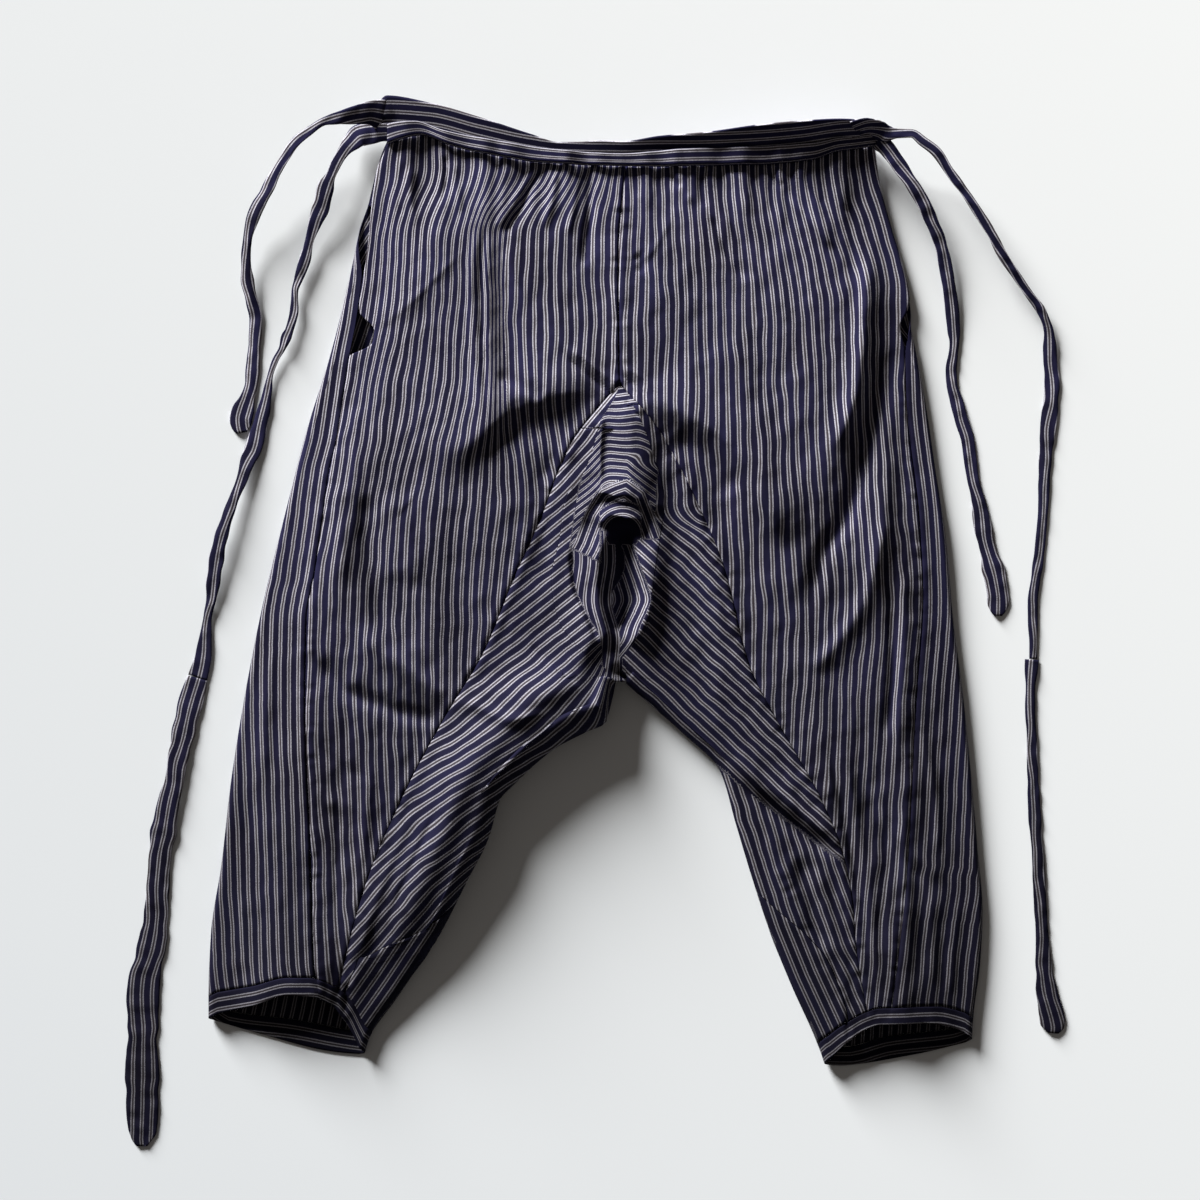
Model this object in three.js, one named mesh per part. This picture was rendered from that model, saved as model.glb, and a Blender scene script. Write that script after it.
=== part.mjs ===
// A pair of monpe, gathered cotton work trousers with four waist ties, laid out on a flat
// surface with the front up. Millimetres: +X to the right of the laid-out garment, +Y from the
// hems to the waist, +Z up from the surface. The origin is below the middle of the whole thing.
//
// The cloth is one layer over another: the backs lie on the surface, turn up round the legs'
// outer sides and end in the side seams on top, where the fronts and gussets bridge the hollow.
// Every panel's upper side is a part of one relief, so that panels meet along their seams.
import * as THREE from 'three';

// ---------------------------------------------------------------- driving dimensions
const CLOTH = 1.2;            // wall of one layer, with its seam allowances
const SEAM_GAP = 0.25;        // half of the space between two panels at a seam
const BACK_BAND_WIDTH = 36;
const FRONT_BAND_WIDTH = 18;
const BAND_WALL = 1.8;        // a band is folded double
const TIE_WALL = 2.4;         // so is a tie
const BAND_STEP_UP = 0.5;     // from the fronts' first row to the front band's foot
const BACK_BAND_FOOT = 3.1;   // height of its foot: it stands on the backs' first row

const NAVY = 0x2b2d4a;
const GREY_NAVY = 0x3a3c55;

// ---------------------------------------------------------------- outlines and seams
// Each is a line down the garment, as rows of [x, y]. Outlines also give the height at which
// the cloth turns over the edge there.
const OUTER_LEFT = [
  [-176, 405, 9], [-186, 384, 8], [-197, 342, 8], [-210, 282, 8], [-225, 223, 9], [-244, 163, 9],
  [-264, 87, 9], [-283, 10, 9], [-298, -66, 9], [-309, -134, 9], [-317, -202, 9],
  [-326, -262, 9], [-328, -315, 10], [-328, -334, 10],
];
const OUTER_RIGHT = [
  [238, 410, 9], [242, 376, 8], [253, 333, 8], [262, 303, 8], [269, 274, 9], [268, 252, 9],
  [272, 231, 9], [280, 189, 8], [289, 129, 8], [298, 70, 9], [304, 2, 9], [312, -58, 9],
  [319, -126, 9], [325, -194, 9], [329, -245, 9], [327, -287, 9], [321, -332, 10], [320, -351, 10],
];
const INNER_LEFT = [
  [19, -43, 30], [14, -66, 30], [10, -76, 30], [-4, -82, 30], [-30, -96, 26], [-60, -122, 20],
  [-79, -144, 16], [-89, -177, 14], [-106, -211, 13], [-132, -262, 12], [-166, -313, 12],
  [-190, -347, 11], [-196, -364, 11],
];
const INNER_RIGHT = [
  [20, -42, 24], [38, -58, 22], [72, -88, 19], [105, -122, 16], [119, -168, 14], [132, -211, 12],
  [149, -262, 12], [166, -304, 12], [189, -354, 12], [195, -372, 12],
];
const SIDE_SEAM_LEFT = [
  [-190, 367], [-195, 316], [-202, 258], [-208, 226], [-219, 154], [-225, 129], [-231, 85],
  [-237, 44], [-244, 2], [-245, -66], [-241, -177], [-237, -287], [-234, -309],
];
const SIDE_SEAM_RIGHT = [
  [269, 274], [264, 250], [263, 232], [264, 189], [275, 87], [278, 19], [272, -66], [264, -211],
  [251, -324],
];
const CENTRE_SEAM = [[26, 388], [20, 308], [21, 201]];
const CHEVRON_LEFT = [
  [21, 201], [-30, 112], [-42, 89], [-67, 41], [-94, -25], [-128, -82], [-161, -144],
  [-194, -222], [-213, -293], [-217, -313],
];
const CHEVRON_RIGHT = [
  [21, 201], [55, 161], [86, 102], [109, 47], [131, -37], [150, -76], [170, -111], [190, -147],
  [209, -193], [218, -235], [221, -277], [230, -330],
];
const CROTCH_LEFT = [
  [4, 167], [-8, 129], [-25, 104], [-30, 70], [-37, 36], [-31, 2], [-13, -22], [9, -39],
];
const CROTCH_RIGHT = [
  [28, 189], [38, 172], [48, 146], [59, 104], [55, 70], [50, 36], [45, 2], [37, -22], [26, -36],
];
// The free edges of the fronts above the side seams: the slits stand open at their lower ends.
const SLIT_EDGE_LEFT = [
  [-176, 405], [-185, 384], [-188, 367], [-193, 316], [-200, 264], [-187, 247], [-189, 236],
  [-208, 226],
];
const SLIT_EDGE_RIGHT = [
  [237, 408], [241, 376], [252, 333], [261, 303], [267, 274], [265, 264], [259, 250], [263, 232],
];
const SLIT_END_LEFT = 226;
const SLIT_END_RIGHT = 232;
// Where the gussets meet the backs on the legs' upper sides, near the hems.
const INNER_SEAM_LEFT = [[-139, -254], [-197, -293], [-210, -313], [-212, -330]];
const INNER_SEAM_RIGHT = [[157, -215], [212, -332], [214, -350]];

// Lines across the garment, as rows of [x, y].
const WAIST_SEAM = [
  [-176, 405], [-162, 410], [-147, 413], [-122, 404], [-87, 396], [-47, 390], [4, 387], [53, 386],
  [94, 387], [143, 388], [183, 392], [205, 399], [240, 404],
];
const BACK_WAIST = [
  [-184, 414], [-176, 416], [-140, 414], [-98, 404], [-55, 395], [-30, 392], [4, 391], [23, 391],
  [55, 392], [89, 393], [140, 396], [174, 399], [208, 404], [240, 406],
];
const HEM = [
  [-328, -315], [-291, -308], [-259, -300], [-242, -300], [-218, -309], [-206, -320], [-191, -345],
  [189, -354], [208, -342], [228, -330], [241, -326], [287, -325], [321, -333],
];
const HEM_UNDER = [
  [-328, -318], [-314, -330], [-254, -338], [-212, -346], [-191, -349], [189, -361], [212, -361],
  [248, -352], [311, -344], [321, -338],
];
const HEM_EDGE = [
  [-328, -334], [-291, -325], [-259, -315], [-241, -316], [-224, -323], [-210, -340], [-196, -362],
  [195, -371], [214, -355], [230, -344], [241, -340], [277, -339], [298, -342], [320, -350],
];
const HEM_EDGE_UNDER = [
  [-328, -337], [-287, -349], [-223, -365], [-201, -367], [195, -375], [203, -377], [268, -368],
  [320, -356],
];
const FRONT_BAND_TOP = [
  [-184, 420], [-168, 423], [-152, 424], [-128, 416], [-87, 408], [-26, 399], [22, 396],
  [76, 400], [143, 402], [183, 405], [205, 409], [240, 413],
];
const BACK_BAND_TOP = [
  [-184, 438], [-176, 445], [-140, 439], [-98, 427], [-55, 413], [-30, 406], [-13, 406], [4, 407],
  [23, 406], [55, 410], [89, 412], [140, 418], [174, 421], [208, 423], [240, 421],
];

// How high the cloth stands above the surface inside its turned edges, as rows of [height, y].
const CROWN = [
  [9, 412], [11, 385], [15, 330], [16, 200], [17, 80], [16, -60], [15, -180], [18, -260],
  [22, -310], [23, -345],
];
const CROWN_RUN = 62;         // from a turned edge to the crown
const FOLD_CLEARANCE = 22;    // the folds die away over this run to a turned edge
const LOWEST = 5.2;           // the deepest crease stays this far above the surface

// Gathers below the front waistband: [x at the band, x and y at the foot, half width, height].
const GATHERS = [
  [-161, -168, 335, 7, 3.5], [-140, -146, 345, 6, -2.5], [-126, -130, 330, 7, 3.5],
  [-108, -106, 345, 6, -2], [-92, -93, 320, 7, 3], [-70, -84, 332, 7, 3], [-44, -77, 326, 7, -4],
  [-24, -34, 340, 7, 3.5], [-8, -4, 308, 6, -3.5], [40, 44, 345, 7, 2.5], [66, 72, 350, 5, 4],
  [82, 82, 345, 6, 3], [99, 131, 284, 6, -3.5], [124, 128, 340, 7, 3], [152, 158, 362, 5, 4],
  [162, 204, 315, 7, 3.5], [186, 196, 345, 6, -3], [204, 212, 345, 7, 3], [221, 228, 340, 6, -2.5],
];
// Folds: ridges, or creases where the height is negative. [from x, y, by way of x, y, to x, y,
// width on the left-hand side of that way, width on the right-hand side, height].
const FOLDS = [
  [34, 202, 124, 150, 166, 62, 34, 13, 12],
  [10, 196, -72, 204, -142, 118, 14, 34, 13],
  [-8, 172, -52, 168, -86, 150, 12, 16, -5],
  [23, 200, 46, 140, 18, 92, 26, 22, 22],
  [2, 84, -18, 20, 8, -62, 14, 14, 12],
  [48, 92, 56, 20, 30, -30, 11, 11, 11],
  [24, 74, 28, 30, 24, -20, 9, 9, -9],
  [-34, 150, -52, 90, -44, 20, 12, 12, -5],
  [66, 150, 84, 90, 120, -30, 14, 11, 6],
  [-132, -70, -70, -52, -10, -66, 12, 16, 6],
  [-92, 333, -90, 250, -92, 160, 7, 7, 5],
  [-80, 330, -56, 262, 16, 204, 9, 8, 4],
  [-105, 322, -150, 280, -184, 246, 8, 10, 4],
  [230, 325, 240, 230, 190, 130, 12, 9, 5],
  [262, 246, 238, 180, 200, 57, 12, 14, -5],
  [250, 150, 246, 100, 232, 36, 9, 10, 5],
  [-150, 120, -128, 60, -136, -20, 14, 16, 3],
  [-208, 190, -196, 110, -222, 20, 9, 12, 4],
  [176, -20, 196, -90, 214, -170, 14, 14, 4],
  [-180, -190, -184, -240, -206, -290, 9, 9, 3],
  [236, -180, 240, -240, 256, -300, 9, 9, 4],
  [272, -190, 276, -240, 280, -310, 8, 8, -3],
];
// The crotch gusset's bulge hangs over the hollow below it: [x, y, radius, overhang].
const OVERHANG = [24, 104, 34, 17];

// ---------------------------------------------------------------- curves and the relief
// Level lines, 0 at the waist seams to 1 at the hems. They lie closer round the crotch's folds.
const LEVELS = [
  0, 0.012, 0.03, 0.055, 0.085, 0.12, 0.155, 0.19, 0.208, 0.2225, 0.2375, 0.2525, 0.268, 0.272,
  0.28, 0.29, 0.304, 0.318, 0.335, 0.352, 0.37, 0.385, 0.3975, 0.41, 0.4225, 0.435, 0.45, 0.47,
  0.495, 0.52, 0.545, 0.575, 0.6, 0.61, 0.63, 0.655, 0.69, 0.73, 0.775, 0.82, 0.86, 0.9, 0.935,
  0.962, 0.982, 1,
];
const WAIST_LEVEL = 395;
const HEM_LEVEL = -325;
const LEG_START = 0.61;       // from here down each leg is a tube of its own
const BAND_END = 1.1;         // the level that stands for the hem bands' free edge
const RIGHT_GUSSET_START = 0.29;
const LEFT_GUSSET_START = 0.318;
const CROTCH_START = 0.272;

const clamp = (value, low, high) => Math.min(high, Math.max(low, value));
const mix = (a, b, t) => a + (b - a) * t;
const smooth = (t) => {
  const c = clamp(t, 0, 1);
  return c * c * (3 - 2 * c);
};

// A smooth monotone curve through a table's rows, read at a value of its key column.
function readTable(table, key, value, at) {
  const rising = table[1][key] > table[0][key];
  const rows = rising ? table : [...table].reverse();
  const last = rows.length - 1;
  if (at <= rows[0][key]) return rows[0][value];
  if (at >= rows[last][key]) return rows[last][value];
  let i = 0;
  while (rows[i + 1][key] < at) i += 1;
  const slope = (k) => (rows[k + 1][value] - rows[k][value]) / (rows[k + 1][key] - rows[k][key]);
  const tangent = (k) => {
    if (k === 0) return slope(0);
    if (k === last) return slope(last - 1);
    const [a, b] = [slope(k - 1), slope(k)];
    return a * b > 0 ? (2 * a * b) / (a + b) : 0;
  };
  const span = rows[i + 1][key] - rows[i][key];
  const t = (at - rows[i][key]) / span;
  return (1 + 2 * t) * (1 - t) ** 2 * rows[i][value]
    + t * (1 - t) ** 2 * span * tangent(i)
    + t * t * (3 - 2 * t) * rows[i + 1][value]
    + t * t * (t - 1) * span * tangent(i + 1);
}
const xAt = (line, y) => (typeof line === 'function' ? line(y) : readTable(line, 1, 0, y));
const yAt = (line, x) => readTable(line, 0, 1, x);

// The height of a level line at x, for the upper cloth or for the cloth underneath.
function levelY(level, x, under) {
  const waist = under ? BACK_WAIST : WAIST_SEAM;
  const hem = under ? HEM_UNDER : HEM;
  if (level > 1) {
    const edge = under ? HEM_EDGE_UNDER : HEM_EDGE;
    return mix(yAt(hem, x), yAt(edge, x), (level - 1) / (BAND_END - 1));
  }
  return mix(WAIST_LEVEL, HEM_LEVEL, level)
    + (yAt(waist, x) - WAIST_LEVEL) * (1 - level) ** 3
    + (yAt(hem, x) - HEM_LEVEL) * level ** 5;
}

// Where a line down the garment crosses a level line.
function crossing(line, level, under = false) {
  let y = mix(WAIST_LEVEL, HEM_LEVEL, Math.min(level, 1));
  let x = xAt(line, y);
  for (let round = 0; round < 8; round += 1) {
    y = mix(y, levelY(level, x, under), 0.7);
    x = xAt(line, y);
  }
  return { x, y };
}

// The nearest point of an outline: its distance, and the height of the turned edge there.
function nearestEdge(outline, x, y) {
  let best = { distance: Infinity, edge: 0 };
  for (let i = 0; i + 1 < outline.length; i += 1) {
    const [ax, ay, ae] = outline[i];
    const [bx, by, be] = outline[i + 1];
    const t = clamp(((x - ax) * (bx - ax) + (y - ay) * (by - ay))
      / ((bx - ax) ** 2 + (by - ay) ** 2), 0, 1);
    const distance = Math.hypot(x - mix(ax, bx, t), y - mix(ay, by, t));
    if (distance < best.distance) best = { distance, edge: mix(ae, be, t) };
  }
  return best;
}

// A ridge's or crease's height at a point: a bell across its curve that fades out at both ends.
function foldHeight([ax, ay, bx, by, cx, cy, left, right, height], x, y) {
  const steps = 10;
  const at = (t) => [
    mix(mix(ax, bx, t), mix(bx, cx, t), t),
    mix(mix(ay, by, t), mix(by, cy, t), t),
  ];
  let best = { distance: Infinity };
  for (let i = 0; i < steps; i += 1) {
    const [px, py] = at(i / steps);
    const [qx, qy] = at((i + 1) / steps);
    const along = ((x - px) * (qx - px) + (y - py) * (qy - py))
      / ((qx - px) ** 2 + (qy - py) ** 2);
    const t = clamp(along, 0, 1);
    const distance = Math.hypot(x - mix(px, qx, t), y - mix(py, qy, t));
    const side = (qx - px) * (y - py) - (qy - py) * (x - px);
    if (distance < best.distance) best = { distance, side, t: (i + t) / steps };
  }
  const width = best.side > 0 ? left : right;
  const fade = smooth(best.t / 0.22) * smooth((1 - best.t) / 0.22);
  return height * (0.15 + 0.85 * fade) * Math.exp(-((best.distance / width) ** 2));
}

const gatherFold = ([x, footX, footY, width, height]) => {
  const top = yAt(WAIST_SEAM, x) + 30;
  return [x, top, mix(x, footX, 0.4), mix(top, footY, 0.5), footX, footY, width, width, height];
};
const ALL_FOLDS = [...FOLDS, ...GATHERS.map(gatherFold)];
const OUTLINES = [OUTER_LEFT, OUTER_RIGHT, INNER_LEFT, INNER_RIGHT];

// The upper cloth's own point over a place in the plan.
function reliefPoint(x, y) {
  let height = readTable(CROWN, 1, 0, y);
  let calm = 1;
  for (const outline of OUTLINES) {
    const { distance, edge } = nearestEdge(outline, x, y);
    const radius = edge / 2;
    height = mix(edge, height, smooth((distance - radius) / CROWN_RUN));
    calm *= smooth((distance - radius) / FOLD_CLEARANCE);
    if (distance < radius) {
      const turned = radius + Math.sqrt(radius ** 2 - (radius - distance) ** 2);
      height = Math.min(height, turned);
    }
  }
  const folds = ALL_FOLDS.reduce((sum, fold) => sum + foldHeight(fold, x, y), 0);
  const lifted = height + folds * calm;
  const z = lifted < LOWEST + 3 ? LOWEST + 3 * Math.exp((lifted - LOWEST - 3) / 3) : lifted;
  const [hx, hy, radius, overhang] = OVERHANG;
  const away = Math.hypot((x - hx) / 0.9, y - hy) / radius;
  const lean = Math.exp(-(away ** 2)) * overhang;
  return new THREE.Vector3(x, y - lean * smooth((z - 16) / 20), z);
}

// The same point with the cloth's outward direction there.
function onRelief(x, y) {
  const step = 0.5;
  const acrossX = reliefPoint(x + step, y).sub(reliefPoint(x - step, y));
  const acrossY = reliefPoint(x, y + step).sub(reliefPoint(x, y - step));
  return { p: reliefPoint(x, y), n: acrossX.cross(acrossY).normalize() };
}

// ---------------------------------------------------------------- cloth as closed walls
// A grid of outer points with outward directions becomes a wall of even thickness. A ring's
// rows close on themselves.
function clothSolid(rows, wall, ring = false) {
  const height = rows.length;
  const width = rows[0].length;
  const positions = [];
  for (const depth of [0, wall]) {
    for (const row of rows) {
      for (const { p, n } of row) {
        positions.push(p.x - n.x * depth, p.y - n.y * depth, p.z - n.z * depth);
      }
    }
  }
  const a = rows[0][0].p;
  const turn = rows[0][1].p.clone().sub(a).cross(rows[1][0].p.clone().sub(a));
  const facing = turn.dot(rows[0][0].n) > 0;
  const index = [];
  const quad = (i, j, k, l) => {
    if (facing) index.push(i, j, k, i, k, l);
    else index.push(i, k, j, i, l, k);
  };
  const at = (layer, row, column) => layer * width * height + row * width + (column % width);
  const columns = ring ? width : width - 1;
  for (let r = 0; r + 1 < height; r += 1) {
    for (let c = 0; c < columns; c += 1) {
      quad(at(0, r, c), at(0, r, c + 1), at(0, r + 1, c + 1), at(0, r + 1, c));
      quad(at(1, r, c), at(1, r + 1, c), at(1, r + 1, c + 1), at(1, r, c + 1));
    }
    if (!ring) {
      quad(at(0, r, 0), at(0, r + 1, 0), at(1, r + 1, 0), at(1, r, 0));
      quad(at(0, r, width - 1), at(1, r, width - 1), at(1, r + 1, width - 1), at(0, r + 1, width - 1));
    }
  }
  for (let c = 0; c < columns; c += 1) {
    quad(at(0, 0, c), at(1, 0, c), at(1, 0, c + 1), at(0, 0, c + 1));
    const r = height - 1;
    quad(at(0, r, c), at(0, r, c + 1), at(1, r, c + 1), at(1, r, c));
  }
  const geometry = new THREE.BufferGeometry();
  geometry.setAttribute('position', new THREE.Float32BufferAttribute(positions, 3));
  geometry.setIndex(index);
  geometry.computeVertexNormals();
  return geometry;
}

const garment = new THREE.Group();
function addCloth(name, geometry, color = NAVY) {
  const material = new THREE.MeshStandardMaterial({ color, roughness: 0.9, metalness: 0 });
  const mesh = new THREE.Mesh(geometry, material);
  mesh.name = name;
  garment.add(mesh);
}

// ---------------------------------------------------------------- a row's way round the cloth
// outward is -1 where the outline's outer side faces -X.
function turnedEdge(outline, outward, level) {
  const { x, y } = crossing(outline, level);
  const slope = (xAt(outline, y + 2) - xAt(outline, y - 2)) / 4;
  const length = Math.hypot(1, slope);
  const nx = outward / length;
  const ny = (-outward * slope) / length;
  const radius = readTable(outline, 1, 2, y) / 2;
  return { x: x - nx * radius, y: y - ny * radius, nx, ny, radius };
}

// The half circle from the upper cloth down to the cloth underneath, or back up.
function edgeArc(edge, level, steps, down = true) {
  const drop = levelY(level, edge.x, true) - edge.y;
  const points = [];
  for (let i = 0; i <= steps; i += 1) {
    const t = down ? i / steps : 1 - i / steps;
    const angle = mix(Math.PI / 2, -Math.PI / 2, t);
    const n = new THREE.Vector3(
      edge.nx * Math.cos(angle), edge.ny * Math.cos(angle), Math.sin(angle),
    );
    const p = new THREE.Vector3(edge.x, edge.y + drop * t, edge.radius)
      .addScaledVector(n, edge.radius);
    points.push({ p, n });
  }
  return points;
}

function topRun(fromX, toX, level, steps) {
  const points = [];
  for (let i = 0; i <= steps; i += 1) {
    const x = mix(fromX, toX, i / steps);
    points.push(onRelief(x, levelY(level, x, false)));
  }
  return points;
}

function underRun(fromX, toX, level, steps) {
  const points = [];
  for (let i = 0; i <= steps; i += 1) {
    const x = mix(fromX, toX, i / steps);
    const p = new THREE.Vector3(x, levelY(level, x, true), 0);
    points.push({ p, n: new THREE.Vector3(0, 0, -1) });
  }
  return points;
}

// Points at given lengths along a way.
function pointsAlong(way, lengths) {
  const reach = [0];
  for (let i = 1; i < way.length; i += 1) {
    reach.push(reach[i - 1] + way[i].p.distanceTo(way[i - 1].p));
  }
  return lengths.map((length) => {
    let i = 0;
    while (i + 2 < reach.length && reach[i + 1] < length) i += 1;
    const t = clamp((length - reach[i]) / Math.max(reach[i + 1] - reach[i], 1e-6), 0, 1);
    return {
      p: way[i].p.clone().lerp(way[i + 1].p, t),
      n: way[i].n.clone().lerp(way[i + 1].n, t).normalize(),
    };
  });
}
const lengthOf = (way) => way.slice(1).reduce((sum, at, i) => sum + at.p.distanceTo(way[i].p), 0);

// Runs joined end to end, and how far along the whole way each of them ends.
function joinRuns(...runs) {
  const way = [...runs[0]];
  const ends = [lengthOf(way)];
  for (const run of runs.slice(1)) {
    way.push(...run.slice(1));
    ends.push(lengthOf(way));
  }
  return { way, ends };
}

// ---------------------------------------------------------------- the two sides' own lines
const SIDES = {
  left: {
    outward: -1, outer: OUTER_LEFT, inner: INNER_LEFT, seam: SIDE_SEAM_LEFT,
    edge: (y) => xAt(y > SLIT_END_LEFT ? SLIT_EDGE_LEFT : SIDE_SEAM_LEFT, y),
    chevron: CHEVRON_LEFT, innerSeam: INNER_SEAM_LEFT,
    crotch: CROTCH_LEFT, gussetStart: LEFT_GUSSET_START, slitTop: 350,
  },
  right: {
    outward: 1, outer: OUTER_RIGHT, inner: INNER_RIGHT, seam: SIDE_SEAM_RIGHT,
    edge: (y) => xAt(y > SLIT_END_RIGHT ? SLIT_EDGE_RIGHT : SIDE_SEAM_RIGHT, y),
    chevron: CHEVRON_RIGHT, innerSeam: INNER_SEAM_RIGHT,
    crotch: CROTCH_RIGHT, gussetStart: RIGHT_GUSSET_START, slitTop: 286,
  },
};
const CENTRE_BACK = 8;        // x of the seam that joins the backs
const UNDER_TURN = 4;         // how far a gusset reaches underneath, past the inner edge
const INNER_SEAM_GAP = 0.8;
const FRONT_COLUMNS = 15;
const GUSSET_COLUMNS = 9;
const WRAP_START = 0.06;      // the part of the turn that the backs' free edges have made

// A front panel's row: from its outer edge to the centre seam, and then to the chevron seam.
function frontRow(side, level) {
  const from = crossing(side.edge, level).x - side.outward * SEAM_GAP;
  const centre = crossing(CENTRE_SEAM, level);
  const inner = centre.y > side.chevron[0][1] ? centre.x : crossing(side.chevron, level).x;
  return topRun(from, inner + side.outward * SEAM_GAP, level, FRONT_COLUMNS);
}

// The whole way round a leg from the chevron seam by its inner side to the side seam.
function legWay(side, level) {
  const start = crossing(side.chevron, level).x - side.outward * SEAM_GAP;
  const inner = turnedEdge(side.inner, -side.outward, level);
  const outer = turnedEdge(side.outer, side.outward, level);
  const end = crossing(side.seam, level).x + side.outward * SEAM_GAP;
  const { way, ends } = joinRuns(
    topRun(start, inner.x, level, 6),
    edgeArc(inner, level, 8),
    underRun(inner.x, outer.x, level, 6),
    edgeArc(outer, level, 8, false),
    topRun(outer.x, end, level, 4),
  );
  const [top, innerTurn, flat, outerTurn, whole] = ends;
  return { start, way, top, innerTurn, flat, outerTurn, whole };
}

// How far the gusset reaches round the leg: under the inner side, and at the hem only to the
// slanting seam on top.
function gussetReach(side, level, leg) {
  const full = leg.innerTurn + UNDER_TURN;
  const seam = crossing(side.innerSeam, level).x;
  const short = Math.abs(seam - leg.start) * 1.06;
  return mix(full, Math.min(short, full), smooth((level - 0.8) / 0.12));
}

function gussetRow(side, level) {
  if (level < LEG_START) {
    const from = crossing(side.chevron, level).x - side.outward * SEAM_GAP;
    const to = crossing(side.crotch, level).x + side.outward * SEAM_GAP;
    return topRun(from, to, level, GUSSET_COLUMNS);
  }
  const leg = legWay(side, level);
  const reach = gussetReach(side, level, leg);
  const turn = Math.min(leg.top * 0.94, reach * 0.5);
  const lengths = [];
  for (let i = 0; i <= GUSSET_COLUMNS; i += 1) {
    lengths.push(i <= 4 ? (turn * i) / 4 : mix(turn, reach, (i - 4) / (GUSSET_COLUMNS - 4)));
  }
  return pointsAlong(leg.way, lengths);
}

// A back panel's row: underneath, round the outer edge, and over it to the side seam. Above the
// side seam the free edge has hardly begun to turn.
function backRow(side, level) {
  const outer = turnedEdge(side.outer, side.outward, level);
  const lengths = [];
  if (level < LEG_START) {
    const end = crossing(side.seam, level);
    const inset = side.outward * (outer.x - end.x) > 0 ? end.x : outer.x;
    const under = underRun(CENTRE_BACK + side.outward * SEAM_GAP, outer.x, level, 6);
    const arc = edgeArc(outer, level, 8, false);
    const wrap = topRun(outer.x, inset + side.outward * SEAM_GAP, level, 4);
    const { way, ends: [flat, outerTurn, whole] } = joinRuns(under, arc, wrap);
    const turned = smooth((side.slitTop - outer.y) / 60);
    const round = (whole - flat) * mix(WRAP_START, 1, turned);
    const share = mix(0.5, (outerTurn - flat) / (whole - flat), turned);
    for (let i = 0; i <= 4; i += 1) lengths.push((flat * i) / 4);
    for (let i = 1; i <= 3; i += 1) lengths.push(flat + (round * share * i) / 3);
    for (let i = 1; i <= 2; i += 1) lengths.push(flat + round * mix(share, 1, i / 2));
    return pointsAlong(way, lengths);
  }
  const leg = legWay(side, level);
  const reach = gussetReach(side, level, leg) + INNER_SEAM_GAP;
  lengths.push(reach);
  for (let i = 0; i <= 2; i += 1) {
    lengths.push(Math.max(reach + 5 * (i + 1), mix(leg.top, leg.innerTurn, i / 2)));
  }
  lengths.push(leg.flat);
  for (let i = 1; i <= 3; i += 1) lengths.push(mix(leg.flat, leg.outerTurn, i / 3));
  for (let i = 1; i <= 2; i += 1) lengths.push(mix(leg.outerTurn, leg.whole, i / 2));
  return pointsAlong(leg.way, lengths);
}

const between = (low, high) => LEVELS.filter((level) => level >= low && level <= high);
for (const [name, side] of Object.entries(SIDES)) {
  addCloth(`front_${name}`, clothSolid(LEVELS.map((level) => frontRow(side, level)), CLOTH));
  addCloth(
    `gusset_${name}`,
    clothSolid(between(side.gussetStart, 1).map((level) => gussetRow(side, level)), CLOTH),
  );
  addCloth(
    `back_${name}`,
    clothSolid(LEVELS.map((level) => backRow(side, level)), CLOTH),
    GREY_NAVY,
  );
}

// ---------------------------------------------------------------- the crotch gusset
const CROTCH_END = 0.6;
function crotchBorder(side, level) {
  const line = level < side.gussetStart ? side.chevron : side.crotch;
  return crossing(line, level).x - side.outward * SEAM_GAP;
}
addCloth('crotch_gusset', clothSolid(
  between(CROTCH_START, CROTCH_END).map((level) => topRun(
    crotchBorder(SIDES.left, level), crotchBorder(SIDES.right, level), level, 9,
  )),
  CLOTH,
));

// ---------------------------------------------------------------- hem bands
// A band is a ring that carries the leg's last row on to its free edge.
function legRing(side, level) {
  const front = frontRow(side, level);
  const gusset = gussetRow(side, level);
  const back = backRow(side, level);
  return [...front, ...gusset.slice(1), ...back.slice(1, -1)];
}
for (const [name, side] of Object.entries(SIDES)) {
  const top = legRing(side, 1).map(({ p, n }) => ({
    p: new THREE.Vector3(p.x, p.y - 2 * SEAM_GAP, p.z), n,
  }));
  addCloth(
    `hem_band_${name}`,
    clothSolid([top, legRing(side, BAND_END)], BAND_WALL, true),
    GREY_NAVY,
  );
}

// ---------------------------------------------------------------- waistbands
// A band stands on the panels' first row and leans: each row of nodes is [foot, middle, top].
function bandRows(feet, topLine, width, bulge) {
  const rows = [[], [], []];
  for (const foot of feet) {
    const run = yAt(topLine, foot.x) - foot.y;
    const rise = Math.sqrt(Math.max(width ** 2 - run ** 2, 25));
    const n = new THREE.Vector3(0, -rise, run).normalize();
    const top = new THREE.Vector3(foot.x, foot.y + run, foot.z + rise);
    const middle = foot.clone().lerp(top, 0.5).addScaledVector(n, bulge);
    [foot, middle, top].forEach((p, i) => rows[i].push({ p, n }));
  }
  return rows;
}
const frontFeet = [
  ...frontRow(SIDES.left, 0),
  ...frontRow(SIDES.right, 0).reverse().slice(1),
].map(({ p }) => new THREE.Vector3(p.x, p.y + BAND_STEP_UP, p.z - 0.6));
addCloth(
  'waistband_front',
  clothSolid(bandRows(frontFeet, FRONT_BAND_TOP, FRONT_BAND_WIDTH, 1.2), BAND_WALL),
  GREY_NAVY,
);
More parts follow.
